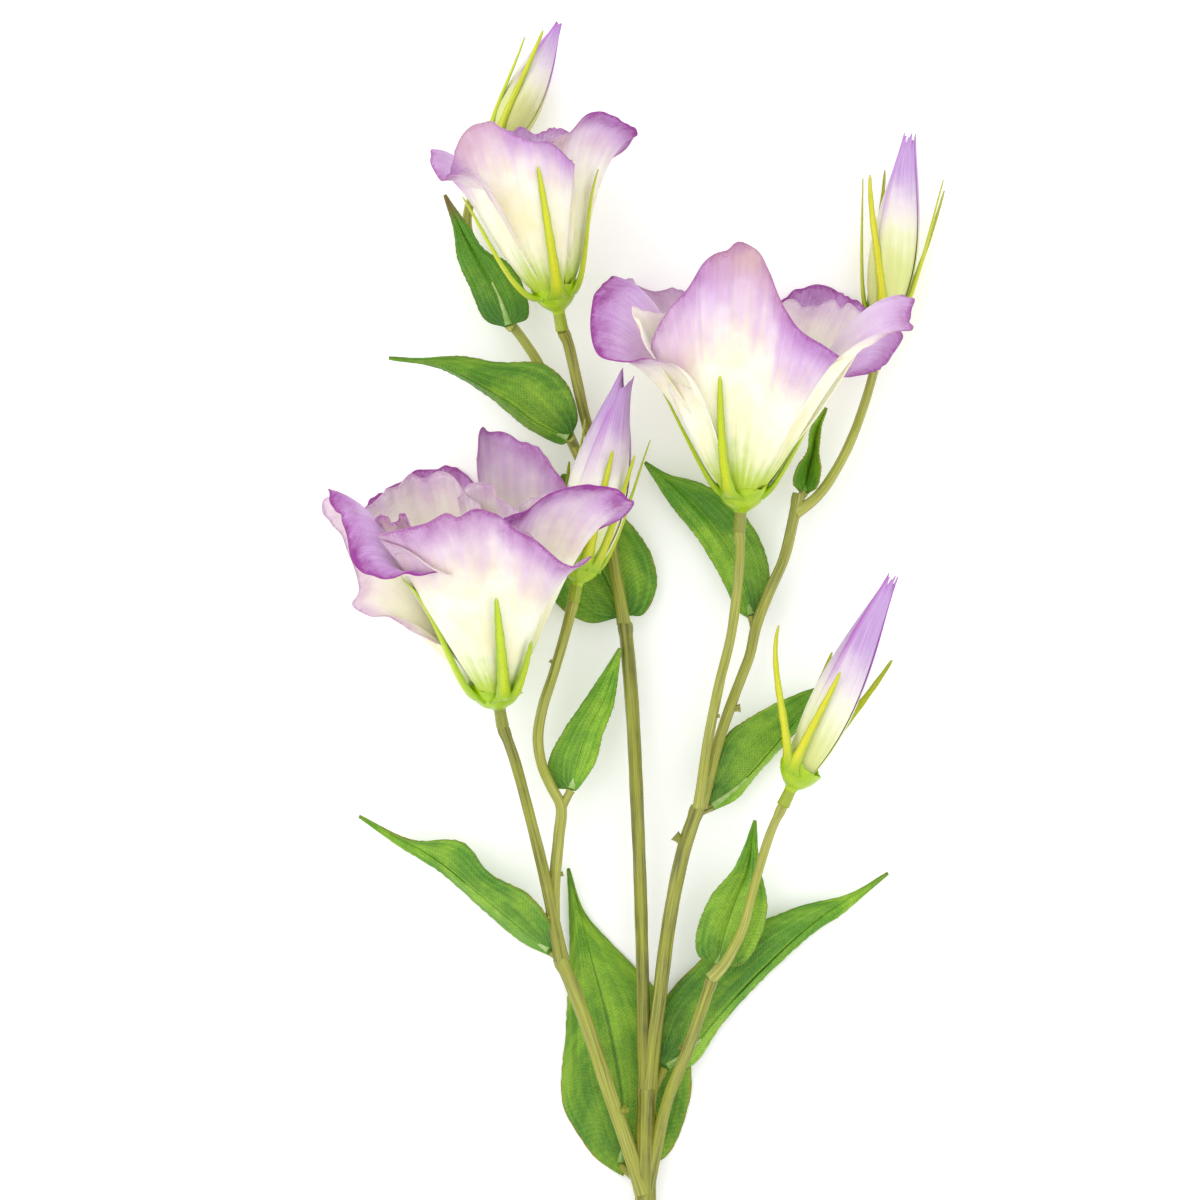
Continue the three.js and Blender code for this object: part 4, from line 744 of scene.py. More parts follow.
# Each bloom's petals and the size of its calyx cup. gold and olive are how far its sepals and its neck turn
# that way. A sepal is its tip, and how far it leans out at the cup and at its tip.
BLOOMS = {
    "left_bloom": dict(
        cup=1.1, gold=0.1, olive=1,
        petals=[
            outer([(-51, 55.7, 59), (-57.3, 58.7, 57), (-64.2, 62.3, 55), (-71, 64.8, 52),
                   (-64.1, 66.1, 58), (-57.1, 68.4, 63), (-51.1, 71.4, 66), (-48.4, 70.6, 67),
                   (-44.9, 72.7, 67), (-41.7, 73, 66), (-37.4, 70.9, 65), (-32.8, 67.4, 63),
                   (-27.4, 63.6, 61), (-22.8, 59.8, 58), (-19, 57.9, 54), (-15.3, 58.2, 50),
                   (-12.8, 60.7, 47)], (70, 16, 70), (0.74, 0.9, 0.8, 0.1), fade=(0.75, 0)),
            outer([(-37.1, 70.5, 46), (-28.9, 73.2, 49), (-20.7, 76.5, 49), (-12.5, 80.1, 48),
                   (-6.5, 79.3, 47), (-1.6, 75.2, 45), (-0.2, 73.1, 42), (-3.8, 70.1, 39),
                   (-10.9, 67.6, 37)], (20, 72, 105), (0.72, 0.95, 1.1, 0)),
            outer([(-19.2, 78.3, 26), (-22, 83.3, 22), (-23.9, 87.3, 18), (-27, 90.7, 15),
                   (-32.9, 92.4, 13), (-37.6, 95.2, 12), (-41.2, 94.9, 12), (-42.3, 96, 13),
                   (-43.6, 89.5, 18), (-43.8, 82.2, 24)], (20, 8, 14), (0.98, 1, 0.7, 0)),
            outer([(-43.9, 79.7, 6), (-48.4, 83.7, 0), (-52.7, 85.7, -3), (-56.9, 84.6, -3),
                   (-60.8, 84.9, -2), (-64.6, 81.4, 2), (-69.7, 78.5, 8), (-74.7, 74.8, 18)],
                  (20, 30, 50), (0.75, 1, 1, 0)),
            outer([(-80.6, 75.6, 16), (-85.2, 76.7, 18), (-86.8, 74.2, 20), (-85.1, 69.5, 22),
                   (-80.3, 63.1, 24), (-76.9, 52, 27), (-77.9, 47.1, 29), (-73.7, 43.5, 30),
                   (-64.8, 41, 32), (-54.9, 36.6, 34)], (90, 105, 60), (1.05, 0.5, 0.4, 0.2)),
            outer([(-84.7, 79.2, 38), (-83, 74.5, 40), (-80.9, 70.3, 43), (-78.6, 64.3, 47),
                   (-77.4, 59.3, 50), (-73.5, 55.8, 52), (-66.9, 53.9, 54), (-58.7, 54.1, 55),
                   (-53.3, 55.2, 54), (-48.7, 55.5, 51)], (70, 112, 60), (0.8, 1, 1.1, 0)),
            inner([(-42.8, 72.6, 34), (-47.3, 78, 27), (-51.3, 82.2, 23), (-54.9, 83.3, 21),
                   (-58, 81.1, 21), (-61.3, 82.7, 22), (-65.6, 80.2, 25), (-70.4, 76.8, 30),
                   (-74.1, 73.1, 36)], (10, 10, 20), (1.14, 0.8, 0.4, 0)),
            inner([(-33.1, 72.3, 40), (-37.3, 76.5, 34), (-40.7, 79.8, 30), (-43.7, 80.7, 28),
                   (-46.8, 79.1, 27), (-49, 75.5, 28)], (10, 5, 10), (1.14, 0.8, 0.4, 0)),
            inner([(-69, 71.5, 38), (-71.1, 70.1, 42), (-67.7, 70.3, 46), (-64.9, 70, 49),
                   (-64.3, 71.6, 51), (-62.5, 68.3, 54), (-59.7, 66.6, 57)],
                  (10, 20, 20), (1, 0.8, 0.8, 0)),
            inner([(-52.2, 66.4, 55), (-46.4, 68, 58), (-40.2, 69, 58), (-33.4, 67.7, 56),
                   (-28.9, 65.6, 50)], (0, 5, 5), (0.9, 0.7, 0.5, 0)),
            inner([(-18.4, 74.6, 37), (-21.2, 77.5, 39), (-24.9, 77.2, 38), (-29, 75.3, 35),
                   (-33.5, 73.2, 31)], (10, 20, 10), (1.14, 0.8, 0.3, 0)),
        ],
        sepals=[((-38.1, 48.4, 51.6), 44, 16), ((-28.7, 36.6, 40), 44, 24), ((-29.5, 51, 10.3), 36, 32),
                ((-56.6, 49.5, 8.6), 44, 24), ((-63.6, 53.6, 46), 36, 40)],
    ),
    "right_bloom": dict(
        cup=1, gold=0.3, olive=1,
        petals=[
            outer([(5.3, 115.8, 42), (5.8, 120.6, 45), (8.5, 127.3, 48), (13.6, 132.4, 50),
                   (18, 139.1, 51), (21.8, 142.1, 51), (25.1, 143.2, 51), (27.8, 145.2, 50),
                   (31.9, 144.3, 50), (34.6, 141.1, 50), (37.9, 133.9, 51), (40.9, 126.6, 51),
                   (44.4, 121.4, 51), (50.7, 118.2, 49), (54.7, 115.1, 46)],
                  (30, 2, 40), (0.7, 1, 0.8, 0.9), fade=(0.35, 0), worn=0.54),
            outer([(58.4, 115.6, 47), (66.1, 118.9, 46), (75.8, 121.7, 43), (75.4, 125.7, 40),
                   (76.7, 130.5, 36), (70.9, 129.9, 31), (64.2, 126.6, 26)],
                  (70, 95, 60), (0.85, 0.85, 0.7, 0), fade=(1, 0)),
            outer([(57.2, 111.5, 22), (60.9, 109.7, 19), (65.7, 110.6, 17), (70.1, 113.7, 16),
                   (72.9, 117.8, 16), (72.8, 122.8, 18), (69.1, 125.9, 22)],
                  (110, 130, 110), (0.72, 1, 0.8, 0)),
            outer([(65.1, 125, 18), (63.6, 129.3, 13), (59.9, 132.4, 7), (55.7, 135.2, 0),
                   (50.8, 136.5, -3), (47.4, 134.8, -3), (44.9, 134.5, -3), (42.3, 132.2, 0),
                   (37.6, 130.5, 6)], (40, 30, 20), (0.75, 1, 1, 0)),
            outer([(18.2, 132.3, 3), (13.7, 134.4, -1), (9, 135.1, -3), (5.6, 134, -3), (1.4, 136.6, 0),
                   (-2, 137.1, 8), (-4.3, 135.5, 18)], (20, 35, 60), (0.95, 0.75, 0.4, 0.1)),
            outer([(-3.2, 135.2, 24), (-5.7, 138.1, 27), (-9, 135, 29), (-11.5, 131, 32),
                   (-12.5, 124.8, 36), (-11.2, 118.6, 40), (-7.9, 114.4, 44), (-1.6, 113.2, 47),
                   (4.4, 112.4, 49), (9.8, 111.6, 50), (14.2, 108.1, 51), (16.9, 103.7, 52)],
                  (75, 95, 60), (0.8, 1, 1.15, 0), fade=(0, 1)),
            inner([(64.4, 124.3, 34), (61.3, 128.4, 29), (59.2, 129.3, 27), (57.1, 128, 25),
                   (54.1, 130.9, 22), (50.6, 130.1, 20), (47.3, 129.1, 19), (44.8, 130.5, 18),
                   (40.7, 130.2, 18), (36.8, 128.8, 19)], (20, 25, 20), (1.14, 0.8, 0.3, 0)),
            inner([(17.7, 130.4, 34), (12.1, 127.2, 37), (7.3, 125.8, 40), (3.3, 127.4, 42), (0.6, 128.9, 43),
                   (-1.3, 127.8, 44), (0.1, 123, 45), (3.9, 116.6, 47)],
                  (20, 30, 40), (1.2, 0.4, 0.1, 0)),
            inner([(15.4, 125.2, 38), (20.9, 128.4, 40), (27.7, 129.5, 41), (34.6, 127.9, 40),
                   (40.9, 124.1, 38)], (0, 0, 5), (0.95, 0.8, 0.4, 0)),
            inner([(40.7, 127.8, 16), (34.1, 130.1, 14), (28.6, 130.7, 13), (21.9, 129.6, 14),
                   (15.2, 127.8, 16)], (5, 10, 5), (1, 0.8, 0.4, 0)),
        ],
        sepals=[((23, 109.2, 44.8), 56, 8), ((53.4, 105.6, 26), 36, 32), ((45.3, 100.5, 8.6), 52, 32),
                ((18.5, 102.8, 4.7), 40, 24), ((5.6, 109.3, 30), 36, 32)],
    ),
    "top_bloom": dict(
        cup=0.9, gold=0.6,
        petals=[
            outer([(-49.1, 163.3, 35), (-50.4, 167.1, 40), (-49.4, 171.5, 44), (-46.9, 175.1, 47),
                   (-43.4, 177.5, 48), (-39, 178.1, 50), (-34.9, 175.9, 51), (-29.9, 173.4, 52),
                   (-24.8, 172.3, 51), (-20.7, 170.9, 48), (-17.5, 167.1, 43)],
                  (30, 8, 20), (0.78, 1, 0.5, 0.75), worn=0.36),
            outer([(-24, 173.4, 43), (-17.2, 176.7, 44), (-11.4, 180, 43), (-6, 180.8, 40),
                   (-1.6, 179.1, 37), (0.7, 176.3, 33), (-1.5, 172.8, 28), (-8.1, 169.8, 23)],
                  (20, 80, 90), (0.68, 0.95, 1.1, 0), fade=(0.6, 0)),
            outer([(-15.9, 176.8, 22), (-20.1, 178.2, 18), (-23.7, 179.2, 16), (-27.6, 177.8, 16),
                   (-30.9, 178.6, 16), (-34.2, 178.3, 17), (-38.1, 177.1, 18)],
                  (20, 14, 10), (0.85, 0.85, 0.6, 0)),
            outer([(-34.8, 177.2, 17), (-39.2, 177.7, 17), (-43.6, 176.5, 18), (-47.5, 174.7, 20),
                   (-49.6, 171.7, 24)], (10, 14, 30), (0.95, 0.8, 0.5, 0)),
            outer([(-49.6, 166.5, 24), (-52.8, 169.6, 27), (-56.1, 171, 31), (-56.5, 167.9, 35),
                   (-53.9, 164.3, 41), (-50.2, 163.9, 47), (-46.3, 164.2, 51), (-42.7, 161.9, 53),
                   (-39.5, 157.5, 53)], (80, 85, 35), (0.76, 0.9, 0.7, 0), fade=(0, 0.6)),
            inner([(-37.2, 169, 40), (-33.3, 172.1, 42), (-28.1, 173.2, 43), (-21.8, 171.3, 42),
                   (-18, 168.2, 39)], (0, 0, 0), (0.8, 0.7, 0.4, 0)),
            inner([(-14.7, 171, 34), (-15.6, 174.6, 30), (-19.5, 176.6, 25), (-23.4, 176.8, 22),
                   (-27.8, 175.5, 21)], (5, 10, 5), (0.8, 0.7, 0.4, 0)),
            inner([(-32.5, 174.7, 20), (-36.9, 174.9, 22), (-41.3, 172.9, 27), (-43.4, 169.7, 33),
                   (-42.2, 166.4, 38)], (5, 10, 5), (0.8, 0.7, 0.4, 0)),
        ],
        sepals=[((-26.7, 165.9, 50.2), 52, 8), ((-10.3, 166.3, 35), 36, 32), ((-19, 158, 16.7), 36, 16),
                ((-34.6, 156.1, 15.8), 44, 8), ((-47.4, 158.5, 37), 60, 24)],
    ),
}


def head_frame(name):
    """Where a bloom or bud stands, and its own directions: up from the surface, its right and its axis."""
    base, axis = (np.array(values, float) for values in HEADS[name])
    axis = unit(axis)
    front = unit(UP - axis * (UP @ axis))
    return base, np.array([front, np.cross(axis, front), axis])


def around_axis(radius, angle, height):
    """Places round a head's axis."""
    return np.stack([radius * np.cos(angle), radius * np.sin(angle), height + 0 * angle], -1)


def leaning(lean, azimuth):
    """A direction that leans out from a head's axis, towards an azimuth."""
    return around_axis(np.sin(lean), azimuth, np.cos(lean))


def bezier(t, a, b, c, d):
    return (1 - t) ** 3 * a + 3 * (1 - t) ** 2 * t * b + 3 * (1 - t) * t**2 * c + t**3 * d


def petal_place(name, petal, index):
    """A petal's middle surface, as a function of u across it and v from its foot to its rim."""
    base, basis = head_frame(name)
    rim = through(petal["rim"])
    root = petal["root"]
    foot = root["radius"] - root["layer"] * (index % 3)
    centre = (rim(0.5) - base) @ basis.T
    facing = math.atan2(centre[1], centre[0])
    left, middle, right = petal["flare"]

    def place(u, v):
        s, t = 2 * u - 1, v[:, None]
        end = (rim(u) - base) @ basis.T
        azimuth = facing + np.radians(root["spread"] * s)
        start = leaning(math.pi / 2, azimuth) * foot + [0, 0, root["height"]]
        flare = np.radians(middle + np.where(s < 0, left - middle, right - middle) * s * s)
        reach = np.linalg.norm(end - start, axis=1)[:, None]
        towards = np.arctan2(end[:, 1], end[:, 0])
        rise = start + leaning(math.radians(root["lean"]), azimuth) * root["grip"] * reach
        arrive = end - leaning(flare, towards) * PETAL_RIM_GRIP * reach
        points = bezier(t, start, rise, arrive, end)
        ripple = v**3 * np.sin(2 * math.pi * (2 * u + 0.2))
        ripple += 0.4 * v**5 * np.sin(2 * math.pi * (4.3 * u + 0.31 * index + 0.3 * np.sin(9 * u)))
        ripple += 0.3 * np.sin(math.pi * v) * np.sin(2 * math.pi * (2.3 * u + 0.6 * v + 0.13 * index))
        frayed = 0.35 * np.sin(19 * u + index + 2 * np.sin(7 * u))
        frayed += 0.2 * np.sin(47 * u + 3 * np.sin(11 * u + index))
        points += leaning(flare + math.pi / 2, towards) * ripple[:, None]
        points += leaning(flare, towards) * (frayed * v**14)[:, None]
        return settle(base + points @ basis, PETAL_THICKNESS / 2)

    return place


def petal_cloth(name, lilac_shift, fullness, warmth):
    """Petal cloth: green foot, cream middle with warm patches, lilac that breaks up downward in streaks."""
    material = new_material(name)
    spot = read_spot(material)
    u, v = read_uv(material)
    lilac, full, dark, tan = read_look(material, 4)
    broad, fine = place_effect(streaks, u, spot, 20.0)
    patch, fleck = place_effect(mottle, spot, 18.0)
    blot, speck = place_effect(mottle, spot, 6.0)
    threads = place_effect(weave, spot, 0.45)[0]
    height = v + patch * 0.14 + blot * 0.04 + broad * 0.07 + fine * 0.05 - 0.15
    cream = blend(patch * warmth, PETAL_CREAM, PETAL_WARM)
    base = blend(step(height, 0.46, 0.12), cream, PETAL_GREEN)
    take = step((height - lilac - lilac_shift) / 0.3, -0.6, 1.0) * full * fullness
    base = blend(take, base, blend((blot + fine) * 0.35, PETAL_LILAC, PETAL_PALE_LILAC))
    near = v + (speck - 0.5) * 0.02
    base = blend(step(near, 0.84, 1.0) * dark * between(blot, 0.35, 1.0), base, PETAL_RIM)
    base = blend(step(near, 0.975, 0.998) * dark * 0.85, base, PETAL_RIM)
    base = blend(step(near, 0.76, 1.0) * tan * between(patch, 0.3, 1.0), base, PETAL_TAN)
    base = shaded(base, between(threads + fine * 0.3, 0.93, 1.04, 0.1, 1.0))
    return finish_material(material, base, between(fleck, 0.55, 0.72), threads, depth=0.05,
                           sheen_weight=0.12, subsurface_weight=0.55, subsurface_radius=(0.003,) * 3)


petal_face = petal_cloth("petal cloth", 0.0, 0.95, 0.85)
petal_inside = petal_cloth("petal cloth inside", -0.25, 0.9, 0.3)


def turned(profile, sides, base, basis, *materials, seed=0.0, look=(0, 0, 0, 0), lift=None):
    """A closed round piece from a profile of radius and height pairs, stood at a place along an axis."""
    outline = np.array([(radius, 0, height) for radius, height in profile], float)
    travelled = np.concatenate([[0], np.cumsum(np.linalg.norm(np.diff(outline, axis=0), axis=1))])
    travelled /= travelled[-1]

    def place(u, v):
        radius = np.interp(v, travelled, outline[:, 0])
        height = np.interp(v, travelled, outline[:, 2])
        angle = 2 * math.pi * u
        if lift is not None:
            height = height + lift(angle, v)
        return base + around_axis(radius, angle, height) @ basis

    return close_up(sheet((sides, TURNED_ROWS), place, *materials, seed=seed, look=look))


for name, bloom in BLOOMS.items():
    base, basis = head_frame(name)
    parts = [turned(FOOT_PROFILE, FOOT_SIDES, base, basis, petal_face, look=(1.4, 0, 0, 0))]
    for index, petal in enumerate(bloom["petals"]):
        start, full, dark, tan = petal["tint"]
        left, right = petal["fade"]

        def petal_look(u, v):
            """A petal's look, with less lilac towards the sides that lack it."""
            ease = 1 - left * np.clip(1.4 - 4 * u, 0, 1) - right * np.clip(4 * u - 2.6, 0, 1)
            worn = np.exp(-(((u - petal["worn"]) / 0.16) ** 2))
            return start + 0 * u, full * ease, dark * ease, tan * worn

        cut = sheet(petal["net"], petal_place(name, petal, index), petal_face, petal_inside,
                    seed=3 * index + len(parts), look=petal_look)
        parts.append(thicken(cut, PETAL_THICKNESS))
    put_on(join(name + "_petals", parts), name + "_corolla")

# ----------------------------------------------------------------------
# Buds: four closed flowers, each three strips of petal cloth rolled round each other. Their free edges show
# as slanting folds, and their ends stand ragged at the tip.
BUD_THICKNESS = 0.3
BUD_STRIPS = 3
BUD_NET = (44, 60)  # faces across a strip and along it
BUD_ROOT = 1.6  # how far up the cup the strips start
BUD_GREEN = "#d6dc8a"
BUD_LILAC = "#b283c8"
BUD_FOLD = "#b04fbe"

# edge is where round the axis a strip's free edge runs, at its foot and its tip, and lap how far round the
# strip goes. drops is how much lower each strip ends, point how far its corners fall and loose how far the
# first one stands off at its tip. A sepal is its tip, and how far round from that it stands in the cup.
BUDS = {
    "top_bud": dict(
        length=41, radius=5.8, tip=0.8, cup=0.66, gold=0.5, lilac=0.72, green=0.5, folds=0.9, ragged=0.3,
        edge=(-75, -40), lap=165, drops=(0, 1.6, 3.2), point=0, loose=0,
        sepals=[((-25.6, 206.2, 14.5), 0), ((-27, 190, 3), 0), ((-25.6, 191.7, 2.2), 0),
                ((-31.8, 194.6, 2.4), 0), ((-30.7, 204.6, 11), 0)],
    ),
    "right_bud": dict(
        length=54, radius=6.3, tip=1.6, cup=0.72, gold=0.9, lilac=0.68, green=0.48, folds=0.5, ragged=1.0,
        edge=(-35, -75), lap=165, drops=(0, 1.6, 3.2), point=0, loose=0,
        sepals=[((65.2, 166, 15), 55), ((85.7, 164.8, 11), 0), ((86.4, 162.4, 3), 0), ((69.8, 168, 4), 0),
                ((63.6, 165.5, 8), 0)],
    ),
    "middle_bud": dict(
        length=60, radius=8.8, tip=0.5, cup=0.86, gold=0.6, lilac=0.6, green=0.24, folds=0.5, ragged=0.2,
        edge=(-62, -24), lap=205, drops=(2, 0, 0.6), point=6, loose=2.6,
        sepals=[((-6.2, 89.2, 31), 0), ((-0.2, 87.8, 29), 0), ((4, 92.2, 22), 0), ((-18.3, 86.5, 13.5), 0),
                ((-13.9, 98, 20), 0)],
    ),
    "low_bud": dict(
        length=63, radius=6.1, tip=1.4, cup=0.84, gold=0.8, lilac=0.54, green=0.3, folds=0.9, ragged=1.2,
        edge=(-40, -60), lap=165, drops=(0, 1.6, 3.2), point=0, loose=0,
        sepals=[((56.4, 28, 29), -10), ((71.4, 31.3, 14), 30), ((64.4, 29.1, 12), 0), ((54.8, 33.4, 12), 0),
                ((39.8, 41, 20), 50)],
    ),
}


def bud_cloth():
    """Bud cloth: green-cream foot, lilac tip, and a magenta line along each free edge."""
    material = new_material("bud cloth")
    spot = read_spot(material)
    u, v = read_uv(material)
    lilac, folds, green = read_look(material, 3)
    broad, fine = place_effect(streaks, u, spot, 12.0)
    patch, fleck = place_effect(mottle, spot, 12.0)
    threads = place_effect(weave, spot, 0.45)[0]
    height = v + patch * 0.08 + broad * 0.06 - 0.07
    cream = blend(step(height - green, 0.22, -0.2), PETAL_CREAM, BUD_GREEN)
    purple = blend(fine * 0.4, BUD_LILAC, PETAL_PALE_LILAC)
    base = blend(step(height - lilac, -0.26, 0.22) * 0.95, cream, purple)
    base = blend(step(u, 0.16, 0.0) * step(v, 0.3, 0.75) * folds * 0.95, base, BUD_FOLD)
    base = blend(step(v, 0.9, 1.0) * folds * 0.45, base, BUD_FOLD)
    base = shaded(base, between(broad + threads, 0.92, 1.05, 0.0, 2.0))
    return finish_material(material, base, between(fleck, 0.55, 0.7), threads, depth=0.06,
                           sheen_weight=0.12, subsurface_weight=0.25, subsurface_radius=(0.003,) * 3)


rolled_cloth = bud_cloth()

for name, bud in BUDS.items():
    base, basis = head_frame(name)
    parts = []
    for strip in range(BUD_STRIPS):

        def strip_place(u, v):
            """One strip, lapped over its neighbour at its free edge, u 0, and under the next one at u 1."""
            swell = bezier(v, 0.42, 1.55, 0.62, 0.02) * bud["radius"] + bud["tip"] * v
            edge = bud["edge"][0] + (bud["edge"][1] - bud["edge"][0]) * v + 8 * np.sin(math.pi * v)
            angle = np.radians(360 * strip / BUD_STRIPS + edge + bud["lap"] * u)
            radius = swell * (0.93 + 0.1 * (1 - u) ** 2) + 0.12 * v**6 * np.sin(30 * u + strip)
            radius += bud["loose"] * (strip == 0) * v**7 * np.sin(math.pi * u)
            ragged = bud["ragged"] * (np.sin(17 * u + 3 * strip) + 0.6 * np.sin(41 * u + strip))
            height = BUD_ROOT + (bud["length"] - BUD_ROOT) * v + ragged * v**12
            height -= (bud["drops"][strip] + bud["point"] * np.abs(2 * u - 1)) * v**8
            return base + around_axis(radius, angle, height) @ basis

        look = (bud["lilac"], bud["folds"], bud["green"], 0)
        rolled = sheet(BUD_NET, strip_place, rolled_cloth, rolled_cloth, seed=strip, look=look)
        parts.append(thicken(rolled, BUD_THICKNESS))
    put_on(join(name + "_strips", parts), name + "_petals")

# ----------------------------------------------------------------------
# Calyxes: seven, each a neck, a cup with a torn lip and five long keeled sepals, moulded in one from glossy
# yellow-green plastic. The neck sits in the stem's socket, and the sepals' tips are thin and pale.
CUP_PROFILE = [
    (0.01, -6.5), (1.6, -6.5), (1.9, -6.1), (1.75, -5.2), (1.65, -1.6), (1.9, -0.7), (2.9, 0), (4.4, 1),
    (5.5, 2.2), (6.4, 3.8), (7.1, 5.4), (7.4, 6.4), (7.1, 6.5), (6.4, 5.1), (5.1, 3.2), (3.0, 1.6),
    (0.01, 1.4),
]
NECK_END = 0.27  # the share of the way along the profile at which the neck meets the cup
LIP_AT = 0.64  # the share at which the profile turns over at the cup's lip
CUP_SIDES = 60
SEPAL_NET = (20, 44)  # faces round a sepal and along it
SEPAL_WIDTH = 3.1
SEPAL_ROOT = dict(radius=6, height=3.4, grip=0.25)
SEPAL_TIP_GRIP = 0.3
BUD_SEPAL = (20, 8)  # how a sepal leaves the cup and how it ends, on a bud
CALYX_GREEN = "#94bd00"
CALYX_YELLOW = "#c0d800"
CALYX_GOLD = "#e0d400"
CALYX_PALE = "#e2e77c"
CALYX_NECK = "#96a616"


def calyx_plastic():
    """Glossy plastic: greener at the neck, yellower up the sepals, with a pale keel and pale tips."""
    material = new_material("calyx plastic")
    spot = read_spot(material)
    u, v = read_uv(material)
    sepal, olive, gold = read_look(material, 3)
    broad, fine = place_effect(streaks, u, spot, 5.0)
    patch, fleck = place_effect(mottle, spot, 5.0)
    cup = blend(patch * 0.6, CALYX_GREEN, CALYX_YELLOW)
    neck = blend(olive, CALYX_NECK, OLIVE)
    cup = blend(step(v, NECK_END + 0.02, NECK_END - 0.01), cup, neck)
    blade = blend(step(v, 0.0, 0.35), CALYX_GREEN, blend(gold * 0.5, CALYX_GREEN, CALYX_GOLD))
    keel = step(abs(u - 0.5), 0.2, 0.03) * step(v, 0.02, 0.3)
    blade = blend(keel, blade, blend(gold, CALYX_YELLOW, CALYX_GOLD))
    blade = blend(step(v, 0.93, 1.0) * 0.6, blade, CALYX_PALE)
    base = blend(sepal, cup, blade)
    base = blend(broad * 0.2, base, CALYX_NECK)
    return finish_material(material, base, between(fleck, 0.24, 0.4), broad + fine, depth=0.12,
                           coat_weight=0.25, coat_roughness=0.2, subsurface_weight=0.1,
                           subsurface_radius=(0.002, 0.003, 0.001))


glossy_green = calyx_plastic()


def make_sepal(name, tip, lean, flare, turn, size, gold, seed):
    """One sepal: a long blade, keeled outside, that runs out to a point.

    lean and flare are how far it leans out at the cup and at its tip, and turn is how far round from the
    azimuth of its tip it stands in the cup."""
    base, basis = head_frame(name)
    end = (np.array(tip, float) - base) @ basis.T
    azimuth = np.array(math.atan2(end[1], end[0]))
    foot = azimuth + math.radians(turn)
    out = leaning(math.pi / 2, foot)
    start = out * SEPAL_ROOT["radius"] * size + [0, 0, SEPAL_ROOT["height"] * size]
    reach = np.linalg.norm(end - start)
    rise = start + leaning(math.radians(lean), foot) * SEPAL_ROOT["grip"] * reach
    arrive = end - leaning(math.radians(flare), azimuth) * SEPAL_TIP_GRIP * reach

    def place(u, v):
        share, is_open = capped(v, SEPAL_NET[1])
        spine = bezier(share[:, None], start, rise, arrive, end)
        ahead = unit(bezier(share[:, None] + 0.01, start, rise, arrive, end) - spine)
        across = unit(np.cross(ahead, out))
        outward = np.cross(across, ahead)
        width = size * SEPAL_WIDTH * (1 - share) ** 0.45 * (1 + 1.1 * np.exp(-share / 0.1))
        half = (0.5 * width + 0.2) * is_open
        keel = (1.1 * size * (1 - share) + 0.3) * is_open
        angle = 2 * math.pi * (u - 0.5)
        wedge = np.exp(-share / 0.08)
        crest = (1 - 0.85 * wedge) * np.abs(np.cos(angle)) ** 1.4
        lift = keel * np.where(np.cos(angle) > 0, crest, -(0.25 + 2 * wedge) * np.abs(np.cos(angle)))
        aside = half * np.sin(angle) * (1 + 0.05 * np.sin(share * 40 + seed))
        points = spine + across * aside[:, None] + outward * lift[:, None]
        return settle(base + points @ basis, 0.0)

    return close_up(sheet(SEPAL_NET, place, glossy_green, seed=seed, look=(1, 0, gold, 0)))


for name, head in (BLOOMS | BUDS).items():
    base, basis = head_frame(name)
    size = head["cup"]
    sepals = head["sepals"]
    if name in BLOOMS:
        sepals = [(*sepal, 0) for sepal in sepals]
    else:
        sepals = [(tip, *BUD_SEPAL, turn) for tip, turn in sepals]
    tips = (np.array([sepal[0] for sepal in sepals], float) - base) @ basis.T
    sides = np.arctan2(tips[:, 1], tips[:, 0]) + np.radians([sepal[3] for sepal in sepals])

    def torn_lip(angle, v):
        """How the cup's lip rises towards each sepal and tears between them."""
        gap = np.cos(angle[:, None] - sides[None, :]).max(axis=1)
        torn = 0.16 * np.sin(19 * angle + 2) + 0.1 * np.sin(41 * angle)
        lip = np.exp(-(((v - LIP_AT) / 0.08) ** 2))
        return lip * size * (2.6 * np.clip(gap, 0, 1) ** 9 + torn)

    look = (0, head.get("olive", 0), 0, 0)
    profile = [(r * size, h * size) if h > 0 else (r, h) for r, h in CUP_PROFILE]
    parts = [turned(profile, CUP_SIDES, base, basis, glossy_green, seed=len(name), look=look, lift=torn_lip)]
    for index, (tip, lean, flare, turn) in enumerate(sepals):
        parts.append(make_sepal(name, tip, lean, flare, turn, size, head["gold"], index))
    put_on(join(name + "_cup_and_sepals", parts), name + "_calyx")

# ----------------------------------------------------------------------
# Centres: in each bloom's throat, a pistil with a two-lobed stigma among five stamens, moulded in matt
# plastic on a small disc.
CENTRE_FOOT = 8.7  # from the base of the cup
PISTIL_PROFILE = [
    (0.01, 0), (2.2, 0), (2.5, 1), (2.6, 3), (2.4, 5.2), (1.9, 7.2), (1.1, 8.6), (0.9, 10), (0.9, 14),
    (0.01, 14.1),
]
PISTIL_SIDES = 24
LOBE_ROUTE = [(0, 13.4), (1.3, 14.9), (2.4, 16)]  # out from the pistil, and up
LOBE_NET = (14, 14)
STAMEN_NET = (12, 26)
STAMEN_ROUTE = [(1.5, 1.5), (3.6, 5), (5, 10), (5.6, 14)]
STAMENS = 5
PISTIL_GREEN = "#b9c24a"
ANTHER_YELLOW = "#dcc53a"


def centre_plastic():
    """Matt plastic, green at its foot and yellow at the tips, with a grain as of pollen."""
    material = new_material("centre plastic")
    patch, fleck = place_effect(mottle, read_spot(material), 2.0)
    base = blend(step(read_uv(material)[1] + patch * 0.2, 0.4, 1.0), PISTIL_GREEN, ANTHER_YELLOW)
    return finish_material(material, base, between(fleck, 0.5, 0.75), fleck, depth=0.2)


matt_yellow = centre_plastic()

